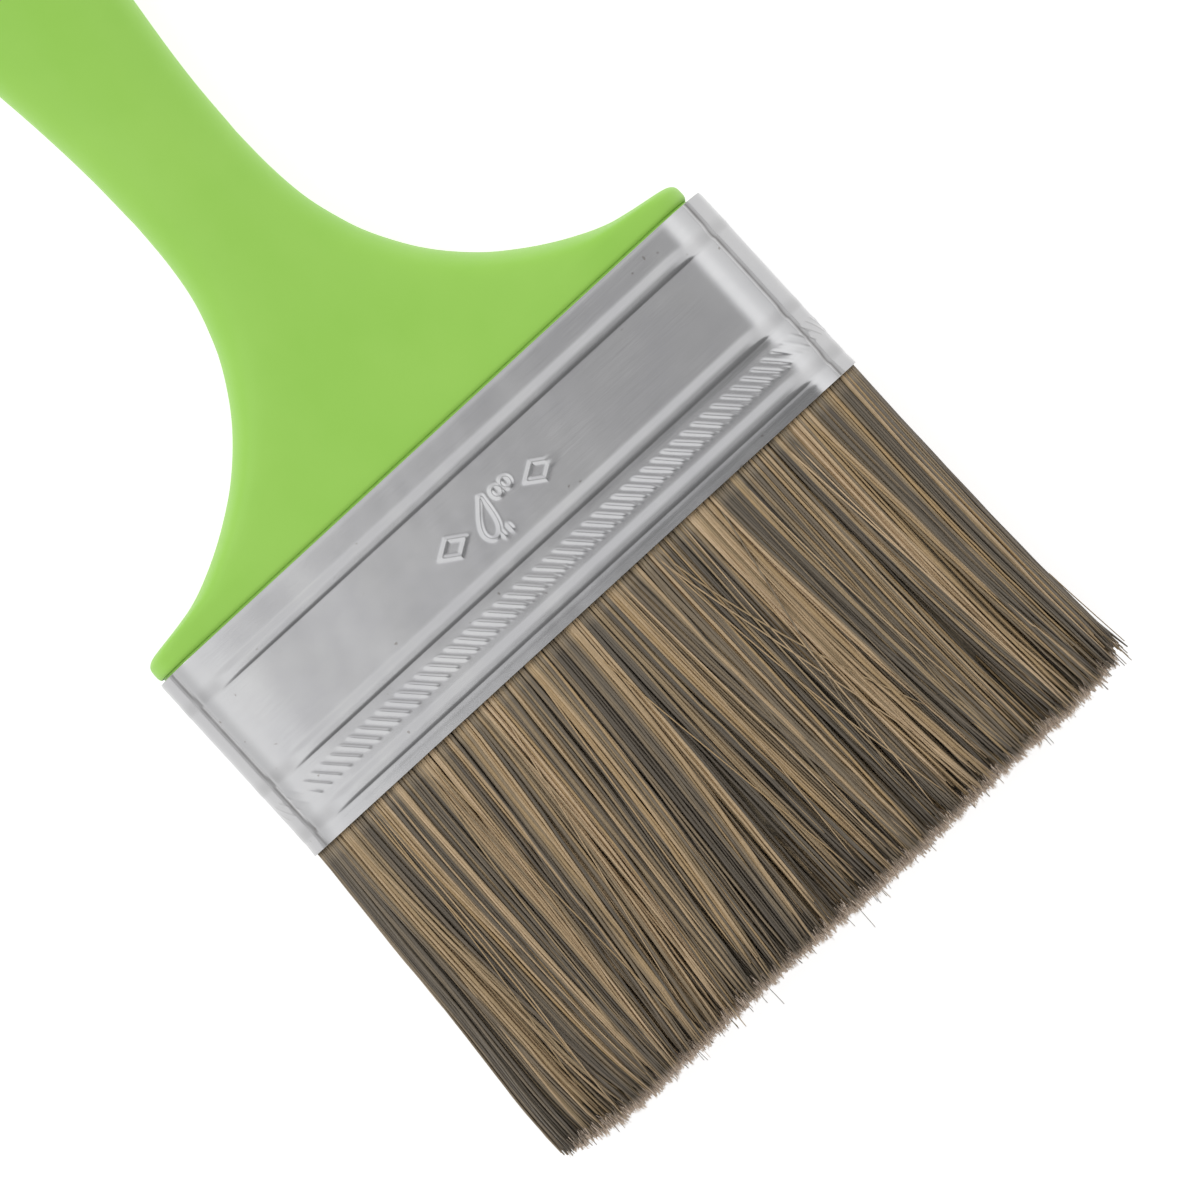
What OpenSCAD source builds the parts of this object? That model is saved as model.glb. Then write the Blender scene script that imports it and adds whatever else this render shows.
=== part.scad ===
// Flat wall paint brush lying on its back.
// +X is across the width, +Y runs from the filament tips to the handle end,
// +Z is up through the front face. The origin is the bottom centre of the brush.

/* [Ferrule] */
// Overall width of the metal ferrule across its flat face
ferrule_w = 102; // [76:1:127]
// Thickness of the ferrule over its flat faces, without the beads
ferrule_t = 15; // [14:0.5:18]
// Height of the ferrule, from the handle to the mouth
ferrule_h = 32.4; // [31:0.2:36]
// Thickness of the tinplate
sheet_t = 0.35; // [0.3:0.05:0.4]
// How far each rolled bead stands out
bead_out = 0.4; // [0.3:0.1:0.6]
// Width of one rolled bead
bead_w = 2.6; // [2.2:0.1:2.8]
// Width of the lapped seam strip on the back
seam_w = 7; // [5:0.5:10]

/* [Handle] */
// Length of the handle outside the ferrule
handle_len = 145; // [130:1:170]
// Width of the narrowest part of the neck
neck_w = 19.4; // [17:0.2:24]
// Width of the widest part of the grip
grip_w = 30.6; // [26:0.2:34]
// How far the handle stands off centre in the ferrule
handle_shift = -0.5; // [-0.6:0.1:0.6]
// Diameter of the hanging hole
hang_hole_d = 9; // [7:0.5:10]
// Distance from the hanging hole's axis to the handle's end
hang_hole_in = 15; // [13:0.5:18]
// Depth of the tongue inside the ferrule
tongue_len = 9; // [8:0.5:10]

/* [Filaments] */
// Length of filament outside the ferrule
tuft_out = 56; // [45:1:64]
// How much wider the tips are than the mouth, on each side
tuft_flare = 3; // [1:0.5:4]
// Thickness of the strip that parts the two halves
plug_t = 3; // [2:0.5:4]

/* [Hidden] */

$fn = 64;
total_len = handle_len + ferrule_h + tuft_out;
y_edge = total_len / 2 - handle_len;      // handle-side edge of the ferrule
y_mouth = y_edge - ferrule_h;             // open edge of the ferrule
z_mid = ferrule_t / 2 + bead_out;         // middle plane of the brush
in_w = ferrule_w - 2 * sheet_t;           // inside width of the ferrule
in_t = ferrule_t - 2 * sheet_t;           // inside thickness
lip_w = in_w - 1.2;                       // shoulder of the handle
lip_t = in_t;
tongue_w = lip_w - 0.4;
tongue_t = lip_t - 0.4;
play = 0.1;                               // gap round the pieces inside
hinge_r = 6.0;                            // rounded root of the free filaments
socket_r = hinge_r + 0.3;                 // hollow round it in the bonded roots
resin_t = 3;
roots_from = tongue_len + 0.3 + resin_t;  // distances below are from y_edge towards the mouth
beads = [4.9, 20.1, 28.9];                // middle of each bead

// Smooth curve through a table of [position, value] pairs
function slope(T, i) =
    i <= 0 ? (T[1][1] - T[0][1]) / (T[1][0] - T[0][0])
    : i >= len(T) - 1 ? (T[i][1] - T[i - 1][1]) / (T[i][0] - T[i - 1][0])
    : (T[i + 1][1] - T[i - 1][1]) / (T[i + 1][0] - T[i - 1][0]);
function span(T, t, i = 0) = i >= len(T) - 2 || t <= T[i + 1][0] ? i : span(T, t, i + 1);
function at(T, t) =
    let (i = span(T, t), h = T[i + 1][0] - T[i][0], u = min(1, max(0, (t - T[i][0]) / h)))
    (2 * pow(u, 3) - 3 * pow(u, 2) + 1) * T[i][1] + (pow(u, 3) - 2 * pow(u, 2) + u) * h * slope(T, i)
    + (3 * pow(u, 2) - 2 * pow(u, 3)) * T[i + 1][1] + (pow(u, 3) - pow(u, 2)) * h * slope(T, i + 1);

// Outline of a cross-section: half-width a, half-thickness b.
// p = 1 is an ellipse, a large p is a flat bar with round ends.
function outline(a, b, p, from, to, n) =
    [for (i = [0:n]) let (f = from + (to - from) * i / n, c = cos(f), s = c < 0 ? -1 : 1)
        [s * ((a - b) * (1 - pow(1 - abs(c), p)) + b * abs(c)), b * sin(f)]];

// Solid through a stack of closed sections, each [y, points]
module loft(S) {
    n = len(S[0][1]);
    m = len(S);
    polyhedron(
        points = [for (k = [0:m - 1]) for (q = S[k][1]) [q[0], S[k][0], q[1]]],
        faces = concat(
            [for (k = [0:m - 2]) for (i = [0:n - 1]) let (j = (i + 1) % n) [k * n + i, k * n + j, (k + 1) * n + i]],
            [for (k = [0:m - 2]) for (i = [0:n - 1]) let (j = (i + 1) % n) [k * n + j, (k + 1) * n + j, (k + 1) * n + i]],
            [[for (i = [0:n - 1]) n - 1 - i]],
            [[for (i = [0:n - 1]) (m - 1) * n + i]]),
        convexity = 6);
}

// Flat bar with round ends, from distance s0 to s1 below the handle's edge
module bar(w, t, s0, s1) {
    translate([0, y_edge - s1, z_mid])
        rotate([-90, 0, 0])
            linear_extrude(height = s1 - s0)
                union() {
                    square([w - t, t], center = true);
                    for (x = [-1, 1]) translate([x * (w - t) / 2, 0]) circle(d = t);
                }
}

// A ring of sheet that follows the ferrule: P on the flat faces and E round the narrow ends,
// each a list of [stand-off from the inner face, distance below y_edge]
module ring(P, E) {
    r = in_t / 2;
    half = in_w / 2 - r;
    // the two round ends
    for (e = [-1, 1])
        translate([e * half, y_edge, z_mid])
            rotate([90, 0, 0])
                rotate([0, 0, e < 0 ? 90 : -90])
                    rotate_extrude(angle = 180)
                        polygon([for (q = E) [r + q[0], q[1]]]);
    // the two flat faces
    for (f = [0, 1])
        translate([0, y_edge, z_mid])
            mirror([0, 0, f])
                rotate([0, 90, 0])
                    translate([0, 0, -half])
                        linear_extrude(height = 2 * half)
                            polygon([for (q = P) [-(r + q[0]), -q[1]]]);
}

// Profile of one bead: [distance from its middle, height] as fractions
bead_shape = [[-0.5, 0], [-0.38, 0.55], [-0.22, 0.9], [0, 1], [0.2, 0.9], [0.36, 0.5], [0.5, 0]];
// Stand-off of the sheet's inner face along the ferrule: the beads are pressed almost flat at the narrow ends
function wall(h, lip) = concat([[0, 0]],
    [for (b = beads) for (q = bead_shape) [q[1] * h, b + q[0] * bead_w]],
    [[0, ferrule_h - 1.2], [lip, ferrule_h]]);
function sheet(L) = concat(L, [for (i = [len(L) - 1:-1:0]) L[i] + [sheet_t, 0]]);

module ferrule() {
    color([0.78, 0.78, 0.79])
    union() {
        ring(sheet(wall(bead_out, -0.25)), sheet(wall(0.1, 0.15)));
        // lapped seam: the strip's end lies over its start, in the middle of the back
        for (g = [[0.6, beads[0] - bead_w / 2 - 0.2],
                  [beads[0] + bead_w / 2 + 0.2, beads[1] - bead_w / 2 - 0.2],
                  [beads[1] + bead_w / 2 + 0.2, beads[2] - bead_w / 2 - 0.2]])
            translate([-seam_w / 2, y_edge - g[1], z_mid - ferrule_t / 2 - sheet_t])
                cube([seam_w, g[1] - g[0], sheet_t + 0.1]);
    }
}

// Share of the shoulder's spread left at each distance up the handle
shoulder = [[0, 1], [2.4, 1], [3.1, 0.99], [3.6, 0.966], [3.95, 0.92], [4.4, 0.85], [5.2, 0.755], [6.7, 0.657],
            [9.3, 0.533], [12.6, 0.41], [15, 0.338], [18, 0.264], [21, 0.203], [24, 0.154], [27, 0.112],
            [30, 0.079], [36, 0.032], [42, 0.009], [49, 0], [55, 0]];
// Share of the grip's swelling, by fraction of the length above the neck
swell = [[0, 0], [0.1, 0.04], [0.2, 0.19], [0.35, 0.5], [0.5, 0.8], [0.65, 0.96], [0.78, 1], [1, 1]];
// Thickness of the handle as a share of its thickest part
thick = [[0, 0.894], [5, 0.9], [20, 0.93], [45, 0.95], [70, 0.95], [95, 0.99], [105, 1], [114, 0.97], [123, 0.85], [127, 0.84], [136, 0.84], [145, 0.84]];
// Flatness of the section
flat_p = [[0, 9], [6, 7], [20, 4], [45, 2.6], [70, 2.2], [100, 2.2], [118, 3.5], [130, 7], [145, 7]];

end_r = 16;                                // length of the rounded handle end
edge_r = 5;                                // how far the end's faces are rounded
function up(t) = t * 145 / handle_len;     // distance on the standard 145 handle
function half_w(t) =
    let (base = t <= 50 ? neck_w / 2 + (lip_w - neck_w) / 2 * at(shoulder, t)
                        : neck_w / 2 + (grip_w - neck_w) / 2 * at(swell, (t - 50) / (handle_len - 50)),
         e = (t - (handle_len - end_r)) / end_r)
    base * (e <= 0 ? 1 : sqrt(max(0.001, 1 - pow(e, 2.3))));
function half_t(t) =
    let (base = (ferrule_t / 2 + bead_out) * at(thick, up(t)), e = (t - (handle_len - edge_r)) / edge_r)
    (t < 3 ? min(base, lip_t / 2) : base) * (e <= 0 ? 1 : sqrt(max(0.05, 1 - pow(e, 2.2))));
stations = concat([0.4, 1.2, 2.4, 2.9, 3.3, 3.6, 3.9, 4.3, 4.8, 5.5, 6.5, 8, 10, 12.5, 15, 18, 21, 24, 27, 31, 36, 42, 50],
                  [for (i = [1:6]) 50 + (handle_len - 24 - 50) * i / 6],
                  [for (d = [19, 15.5, 12, 9, 6.5, 4.6, 3, 1.8, 0.9, 0.3, 0]) handle_len - d]);

module handle() {
    color([0.45, 0.66, 0.20])
    difference() {
        union() {
            translate([handle_shift, 0, z_mid])
                loft([for (t = stations) let (a = half_w(t), b = min(half_t(t), a))
                    [y_edge + t, [for (i = [0:31]) outline(a, b, at(flat_p, up(t)), i * 11.25, i * 11.25, 1)[0]]]]);
            // tongue, and the rib on it that sits in the hollow of the first bead
            translate([handle_shift, 0, 0]) {
                bar(tongue_w, tongue_t, -1.5, tongue_len);
                translate([-(in_w - in_t) / 2 + 1, y_edge - beads[0] - 0.6, z_mid - tongue_t / 2 - 0.4])
                    cube([in_w - in_t - 2, 1.2, tongue_t + 0.8]);
            }
        }
        // moulding pockets in the tongue
        for (i = [-2:2])
            translate([handle_shift + i * (tongue_w - 12) / 5, y_edge - tongue_len - 1, z_mid])
                translate([-(tongue_w - 26) / 10, 0, -tongue_t / 2 + 2.2])
                    cube([(tongue_w - 26) / 5, tongue_len + 5, tongue_t - 4.4]);
        // hanging hole
        translate([handle_shift, y_edge + handle_len - hang_hole_in, -1])
            cylinder(d = hang_hole_d, h = 2 * z_mid + 2);
    }
}

module resin_set() {
    color([0.72, 0.60, 0.36])
        bar(in_w - 2 * play, in_t - 2 * play, tongue_len + 0.3, roots_from);
}

module spacer_plug() {
    color([0.80, 0.68, 0.48])
        translate([-(in_w - 16) / 2, y_edge - (ferrule_h - socket_r - 0.6), z_mid - plug_t / 2])
            cube([in_w - 16, ferrule_h - socket_r - 0.6 - roots_from, plug_t]);
}

// Round-ended rod about the line on which the filaments bend
module bend_rod(r, half) {
    translate([-half, y_mouth, z_mid]) rotate([0, 90, 0]) cylinder(r = r, h = 2 * half);
    for (e = [-1, 1]) translate([e * half, y_mouth, z_mid]) sphere(r = r);
}

module roots(side) {
    difference() {
        bar(in_w - 2 * play, in_t - 2 * play, roots_from, ferrule_h - 0.8);
        // the other half of the pack
        translate([-ferrule_w, y_mouth - 5, side > 0 ? z_mid - 20 : z_mid])
            cube([2 * ferrule_w, ferrule_h + 10, 20]);
        // space for the spacer plug
        translate([-(in_w - 16) / 2, y_mouth, z_mid - plug_t / 2])
            cube([in_w - 16, ferrule_h, plug_t]);
        bend_rod(socket_r, in_w / 2 - in_t / 2 + 0.3);
    }
}

module front_filament_roots() { color([0.55, 0.47, 0.33]) roots(1); }
module back_filament_roots() { color([0.50, 0.43, 0.30]) roots(-1); }

// Free filaments, one half. Thickness and spread against the distance from the mouth;
// the root above the mouth is a half round rod about the line on which the filaments bend.
tuft_b = [[0, 6], [1.5, 5.85], [3.2, 5.9], [5, 6.7], [8, 7.1], [15, 7.3], [30, 7.5], [45, 7], [52, 6.5], [56, 6]];
tuft_a = [[0, 0], [10, 0.25], [30, 0.55], [45, 0.9], [56, 1]];
tuft_stations = [-0.985 * hinge_r, -0.9 * hinge_r, -0.74 * hinge_r, -0.5 * hinge_r, -0.25 * hinge_r, 0, 1.5, 3.2, 4.2, 5, 6.4, 9, 15, 22, 30, 38, 45, 51, 56];

module free_half(side) {
    loft([for (d = tuft_stations)
        let (b = d < 0 ? sqrt(pow(hinge_r, 2) - pow(d, 2)) : at(tuft_b, d),
             a = in_w / 2 - in_t / 2 + 0.3 + (d < 3.2 ? b : hinge_r + tuft_flare * at(tuft_a, d)),
             y = y_mouth - (d < 5 ? d : 5 + (d - 5) * (tuft_out - 5) / 51))
        [y, [for (q = outline(a, b, 8, side > 0 ? 180 : 360, side > 0 ? 0 : 180, 16)) [q[0], z_mid + q[1]]]]]);
}

module front_filaments() { color([0.49, 0.41, 0.28]) free_half(1); }
module back_filaments() { color([0.42, 0.36, 0.26]) free_half(-1); }

handle();
ferrule();
resin_set();
spacer_plug();
front_filament_roots();
back_filament_roots();
front_filaments();
back_filaments();
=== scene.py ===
import math

import bpy
import numpy as np
from mathutils import Matrix, Vector


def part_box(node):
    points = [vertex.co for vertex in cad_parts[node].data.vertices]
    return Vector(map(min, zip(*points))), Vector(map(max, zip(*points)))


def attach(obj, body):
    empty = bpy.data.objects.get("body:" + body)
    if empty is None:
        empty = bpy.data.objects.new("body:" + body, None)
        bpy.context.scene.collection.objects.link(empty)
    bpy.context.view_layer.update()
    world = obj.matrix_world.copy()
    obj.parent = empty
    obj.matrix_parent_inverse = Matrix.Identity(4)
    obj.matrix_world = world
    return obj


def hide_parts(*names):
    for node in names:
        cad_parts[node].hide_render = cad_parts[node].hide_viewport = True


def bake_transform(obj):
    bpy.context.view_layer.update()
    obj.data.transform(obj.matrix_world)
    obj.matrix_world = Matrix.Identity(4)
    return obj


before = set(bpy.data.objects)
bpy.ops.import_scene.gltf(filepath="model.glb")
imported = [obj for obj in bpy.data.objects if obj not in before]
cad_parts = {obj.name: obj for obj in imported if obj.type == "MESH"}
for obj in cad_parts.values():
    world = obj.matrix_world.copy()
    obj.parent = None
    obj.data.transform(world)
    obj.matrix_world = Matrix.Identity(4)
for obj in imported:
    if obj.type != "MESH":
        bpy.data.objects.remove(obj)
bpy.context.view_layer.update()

MM = 0.001
ROOT, TUFT = "handle_and_ferrule", "tuft"

# ---------------------------------------------------------------- places taken from the frame (mm)
f_lo, f_hi = [np.array(v) * 1000 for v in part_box("ferrule")]
h_lo, h_hi = [np.array(v) * 1000 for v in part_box("handle")]
t_lo, t_hi = [np.array(v) * 1000 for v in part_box("front_filaments")]
Y_EDGE, Y_MOUTH = f_hi[1], f_lo[1]
FER_H = Y_EDGE - Y_MOUTH
Z_MID = (f_lo[2] + f_hi[2]) / 2
BEAD = 0.4
FER_T = f_hi[2] - f_lo[2] - 2 * BEAD
FER_W = 102.0
HANDLE_LEN = h_hi[1] - Y_EDGE
HANDLE_X = (h_lo[0] + h_hi[0]) / 2
TUFT_OUT = Y_MOUTH - t_lo[1]
SHEET = 0.35


# ---------------------------------------------------------------- helpers
def smooth(a, b, x):
    t = np.clip((np.asarray(x, float) - a) / (b - a), 0, 1)
    return t * t * (3 - 2 * t)


def table(T, x):
    """Smooth curve through [position, value] pairs, as in the CAD source."""
    T = np.array(T, float)
    px, py = T[:, 0], T[:, 1]
    m = np.empty(len(px))
    m[0] = (py[1] - py[0]) / (px[1] - px[0])
    m[-1] = (py[-1] - py[-2]) / (px[-1] - px[-2])
    m[1:-1] = (py[2:] - py[:-2]) / (px[2:] - px[:-2])
    x = np.asarray(x, float)
    i = np.clip(np.searchsorted(px, x, side="left") - 1, 0, len(px) - 2)
    h = px[i + 1] - px[i]
    u = np.clip((x - px[i]) / h, 0, 1)
    return ((2 * u**3 - 3 * u**2 + 1) * py[i] + (u**3 - 2 * u**2 + u) * h * m[i]
            + (3 * u**2 - 2 * u**3) * py[i + 1] + (u**3 - u**2) * h * m[i + 1])


def wobble(x, y, seed, scale, octaves=2):
    """Smooth seeded noise of two coordinates, about -1..1."""
    rng = np.random.RandomState(seed)
    out, amp, tot = 0, 1.0, 0
    for _ in range(octaves):
        for _k in range(5):
            a, p = rng.uniform(0, 2 * math.pi), rng.uniform(0, 2 * math.pi)
            f = rng.uniform(0.7, 1.3) * 2 * math.pi / scale
            out = out + amp * np.sin(f * (np.cos(a) * x + np.sin(a) * y) + p)
            tot += amp * 0.5
        scale, amp = scale * 0.5, amp * 0.5
    return out / tot


def make_mesh(name, verts_mm, groups, smooth_faces=True, uvs=None, uv_name="UVMap"):
    """verts (n,3) in mm; groups = arrays (m,k) of vertex indices; uvs = per-loop (l,2) in the same order."""
    me = bpy.data.meshes.new(name)
    v = np.asarray(verts_mm, np.float64) * MM
    groups = [np.asarray(g, np.int32) for g in groups if len(g)]
    loops = np.concatenate([g.ravel() for g in groups])
    totals = np.concatenate([np.full(len(g), g.shape[1], np.int32) for g in groups])
    starts = np.concatenate([[0], np.cumsum(totals)[:-1]]).astype(np.int32)
    me.vertices.add(len(v))
    me.vertices.foreach_set("co", v.astype(np.float32).ravel())
    me.loops.add(len(loops))
    me.loops.foreach_set("vertex_index", loops)
    me.polygons.add(len(totals))
    me.polygons.foreach_set("loop_start", starts)
    me.polygons.foreach_set("loop_total", totals)
    me.polygons.foreach_set("use_smooth", np.full(len(totals), smooth_faces))
    if uvs is not None:
        layer = me.uv_layers.new(name=uv_name)
        layer.data.foreach_set("uv", np.asarray(uvs, np.float32).ravel())
    me.update(calc_edges=True)
    me.validate()
    ob = bpy.data.objects.new(name, me)
    bpy.context.scene.collection.objects.link(ob)
    return ob


class Mat:
    """A short way to write a node material."""

    def __init__(self, name):
        self.m = bpy.data.materials.new(name)
        self.m.use_nodes = True
        self.t = self.m.node_tree
        self.b = self.t.nodes["Principled BSDF"]

    def n(self, kind, **kw):
        node = self.t.nodes.new(kind)
        for k, v in kw.items():
            if k.startswith("i_"):
                key = k[2:]
                node.inputs[int(key) if key.isdigit() else key.replace("_", " ")].default_value = v
            else:
                setattr(node, k, v)
        return node

    def link(self, a, b):
        self.t.links.new(a, b)

    def val(self, name, v):
        self.b.inputs[name].default_value = v

    def math(self, op, a, b=None, clamp=False):
        node = self.n("ShaderNodeMath", operation=op, use_clamp=clamp)
        for i, x in enumerate((a, b)):
            if x is None:
                continue
            if isinstance(x, (int, float)):
                node.inputs[i].default_value = x
            else:
                self.link(x, node.inputs[i])
        return node.outputs[0]

    def ramp(self, fac, stops, interp="LINEAR"):
        node = self.n("ShaderNodeValToRGB")
        node.color_ramp.interpolation = interp
        els = node.color_ramp.elements
        while len(els) > 1:
            els.remove(els[-1])
        els[0].position, els[0].color = stops[0][0], (*stops[0][1], 1)
        for p, c in stops[1:]:
            e = els.new(p)
            e.color = (*c, 1)
        self.link(fac, node.inputs[0])
        return node.outputs[0]

    def mix(self, fac, a, b, blend="MIX"):
        node = self.n("ShaderNodeMix", data_type="RGBA", blend_type=blend)
        for s, x in ((0, fac), (6, a), (7, b)):
            if isinstance(x, (int, float)):
                node.inputs[s].default_value = x
            elif isinstance(x, tuple):
                node.inputs[s].default_value = (*x, 1)
            else:
                self.link(x, node.inputs[s])
        return node.outputs[2]

    def map(self, x, a, b, c, d, kind="LINEAR"):
        node = self.n("ShaderNodeMapRange", interpolation_type=kind)
        node.clamp = True
        self.link(x, node.inputs[0])
        for i, v in ((1, a), (2, b), (3, c), (4, d)):
            node.inputs[i].default_value = v
        return node.outputs[0]

    def noise(self, vec, scale, detail=2.0, rough=0.5, dims="3D"):
        node = self.n("ShaderNodeTexNoise", noise_dimensions=dims)
        node.inputs["Scale"].default_value = scale
        node.inputs["Detail"].default_value = detail
        node.inputs["Roughness"].default_value = rough
        self.link(vec, node.inputs["Vector"])
        return node.outputs[0]

    def obj(self, scale=(1, 1, 1)):
        tc = self.n("ShaderNodeTexCoord")
        mp = self.n("ShaderNodeMapping")
        mp.inputs["Scale"].default_value = scale
        self.link(tc.outputs["Object"], mp.inputs["Vector"])
        return mp.outputs[0]

    def bump(self, height, strength, dist, normal=None):
        node = self.n("ShaderNodeBump")
        node.inputs["Strength"].default_value = strength
        node.inputs["Distance"].default_value = dist
        self.link(height, node.inputs["Height"])
        if normal is not None:
            self.link(normal, node.inputs["Normal"])
        return node.outputs[0]


# ---------------------------------------------------------------- materials
def plastic_green():
    k = Mat("handle_green_plastic")
    o = k.obj()
    grain = k.noise(o, 5200, 3, 0.6)          # fine spark-erosion texture of the mould
    cloud = k.noise(o, 55, 3, 0.55)           # faint flow clouds
    flow = k.noise(k.obj((1, 0.35, 1)), 160, 2, 0.5)
    col = k.mix(k.map(cloud, 0.3, 0.7, 0, 1), (0.314, 0.630, 0.086), (0.345, 0.657, 0.102))
    col = k.mix(k.map(flow, 0.35, 0.75, 0, 0.25), col, (0.364, 0.672, 0.120))
    k.link(col, k.b.inputs["Base Color"])
    k.link(k.map(grain, 0.3, 0.7, 0.40, 0.50), k.b.inputs["Roughness"])
    mid = k.noise(o, 900, 2, 0.5)
    h = k.math("ADD", k.math("MULTIPLY", grain, 0.6), k.math("MULTIPLY", mid, 0.8))
    k.link(k.bump(h, 0.35, 0.00006), k.b.inputs["Normal"])
    k.val("Specular IOR Level", 0.36)
    k.val("Subsurface Weight", 0.0)
    return k.m


def tinplate():
    k = Mat("ferrule_tinplate")
    uv = k.n("ShaderNodeUVMap", uv_map="wrap")
    mp = k.n("ShaderNodeMapping")
    mp.inputs["Scale"].default_value = (0.9, 60, 1)
    k.link(uv.outputs[0], mp.inputs["Vector"])
    streak = k.noise(mp.outputs[0], 1.0, 4, 0.6)
    mp2 = k.n("ShaderNodeMapping")
    mp2.inputs["Scale"].default_value = (3.0, 400, 1)
    k.link(uv.outputs[0], mp2.inputs["Vector"])
    fine = k.noise(mp2.outputs[0], 1.0, 3, 0.6)
    o = k.obj()
    cloud = k.noise(o, 120, 3, 0.5)
    speck = k.noise(o, 700, 1, 0.5)
    col = k.mix(k.map(cloud, 0.3, 0.7, 0, 1), (0.60, 0.60, 0.615), (0.66, 0.66, 0.665))
    col = k.mix(k.map(fine, 0.35, 0.65, 0, 0.35), col, (0.56, 0.56, 0.575))
    col = k.mix(k.map(speck, 0.765, 0.80, 0, 0.5), col, (0.30, 0.27, 0.24))
    # painted shade: a per-point attribute darkens the tinplate along the press marks, under the beads and on the round
    # ends
    at = k.n("ShaderNodeAttribute", attribute_name="painted_shade", attribute_type="GEOMETRY")
    col = k.mix(k.math("MULTIPLY", at.outputs["Fac"], 0.80), col, (0.16, 0.155, 0.15))
    k.link(col, k.b.inputs["Base Color"])
    k.val("Metallic", 1.0)
    r = k.math("ADD", k.map(streak, 0.25, 0.75, 0.13, 0.20), k.map(fine, 0.3, 0.7, -0.02, 0.03))
    k.link(r, k.b.inputs["Roughness"])
    h = k.math("ADD", k.math("MULTIPLY", streak, 0.5), k.math("MULTIPLY", fine, 0.5))
    k.link(k.bump(h, 0.14, 0.00002), k.b.inputs["Normal"])
    return k.m


# Strand colours by column of the strand texture: 0 is the lightest tan, 1 the darkest charcoal
STRAND_STOPS = [
    (0.00, (0.69, 0.51, 0.32)), (0.08, (0.60, 0.44, 0.262)), (0.16, (0.53, 0.385, 0.225)), (0.24, (0.50, 0.345, 0.172)),
    (0.34, (0.41, 0.303, 0.174)), (0.44, (0.345, 0.261, 0.157)), (0.54, (0.293, 0.222, 0.139)), (0.64, (0.237, 0.189, 0.128)),
    (0.74, (0.19, 0.156, 0.116)), (0.84, (0.155, 0.131, 0.098)), (0.93, (0.131, 0.113, 0.089)), (1.00, (0.107, 0.091, 0.072)),
]
COLS = 64


def filament():
    """Colour depends only on the strand's own texture column and on how far along the strand a point is."""
    k = Mat("filament_mix")
    uv = k.n("ShaderNodeUVMap", uv_map="OFBake")
    sep = k.n("ShaderNodeSeparateXYZ")
    k.link(uv.outputs[0], sep.inputs[0])
    u, v = sep.outputs[0], sep.outputs[1]
    col_id = k.math("FLOOR", k.math("MULTIPLY", u, COLS))
    shade = k.math("DIVIDE", col_id, COLS - 1)
    base = k.ramp(shade, STRAND_STOPS)
    # mottling along each strand, different in every column
    comb = k.n("ShaderNodeCombineXYZ")
    k.link(k.math("MULTIPLY", col_id, 7.31), comb.inputs[0])
    k.link(k.math("MULTIPLY", v, 14.0), comb.inputs[1])
    mott = k.noise(comb.outputs[0], 1.0, 3, 0.6)
    base = k.mix(k.map(mott, 0.25, 0.75, 0.0, 0.26), base, (0.15, 0.11, 0.07), "MIX")
    comb2 = k.n("ShaderNodeCombineXYZ")
    k.link(k.math("MULTIPLY", u, 640.0), comb2.inputs[0])
    k.link(k.math("MULTIPLY", v, 90.0), comb2.inputs[1])
    fib = k.noise(comb2.outputs[0], 1.0, 2, 0.6)
    base = k.mix(k.map(fib, 0.3, 0.7, 0.0, 0.16), base, (0.06, 0.05, 0.04))
    # painted light: paler where it has just left the mouth, lifting the shadow under the lip
    base = k.mix(k.map(v, 0.028, 0.06, 0.30, 0.0), base, (0.60, 0.48, 0.33))
    # a little darker towards the tips, partly the filaments' own colour and partly painted shade
    base = k.mix(k.map(v, 0.15, 0.8, 0.0, 0.05), base, (0.10, 0.075, 0.05))
    # the tips are darkened, partly their own darker colour and partly painted shade of the gaps between the split tips;
    # the split ends are pale brown
    dark = k.map(v, 0.82, 0.95, 0.0, 0.22, "SMOOTHSTEP")
    base = k.mix(dark, base, (0.085, 0.070, 0.055))
    pale = k.map(v, 0.962, 0.990, 0.0, 0.85, "SMOOTHSTEP")
    base = k.mix(pale, base, (0.60, 0.485, 0.39))
    k.link(base, k.b.inputs["Base Color"])
    k.link(k.map(mott, 0.3, 0.7, 0.38, 0.55), k.b.inputs["Roughness"])
    k.val("Specular IOR Level", 0.35)
    return k.m


def fuzz():
    k = Mat("filament_split_ends")
    uv = k.n("ShaderNodeUVMap", uv_map="OFBake")
    sep = k.n("ShaderNodeSeparateXYZ")
    k.link(uv.outputs[0], sep.inputs[0])
    shade = k.math("DIVIDE", k.math("FLOOR", k.math("MULTIPLY", sep.outputs[0], COLS)), COLS - 1)
    base = k.ramp(shade, [(0, (0.80, 0.665, 0.545)), (0.4, (0.69, 0.565, 0.455)), (0.75, (0.50, 0.405, 0.325)), (1, (0.28, 0.23, 0.185))])
    base = k.mix(k.map(sep.outputs[1], 0.2, 1.0, 0.0, 0.5), base, (0.78, 0.65, 0.53))
    k.link(base, k.b.inputs["Base Color"])
    k.val("Roughness", 0.6)
    k.val("Specular IOR Level", 0.2)
    return k.m


def dark_pack():
    k = Mat("filament_pack_inside")
    streak = k.noise(k.obj((2600, 60, 2600)), 1.0, 3, 0.6)
    # painted shade: the inside of the pack is coloured darker than the filaments, standing in for the shade deep
    # between them
    col = k.ramp(streak, [(0.3, (0.11, 0.094, 0.072)), (0.5, (0.18, 0.15, 0.11)), (0.62, (0.29, 0.23, 0.15)), (0.75, (0.14, 0.122, 0.098))])
    k.link(col, k.b.inputs["Base Color"])
    k.val("Roughness", 0.8)
    k.val("Specular IOR Level", 0.15)
    k.link(k.bump(streak, 0.9, 0.0002), k.b.inputs["Normal"])
    return k.m


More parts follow.
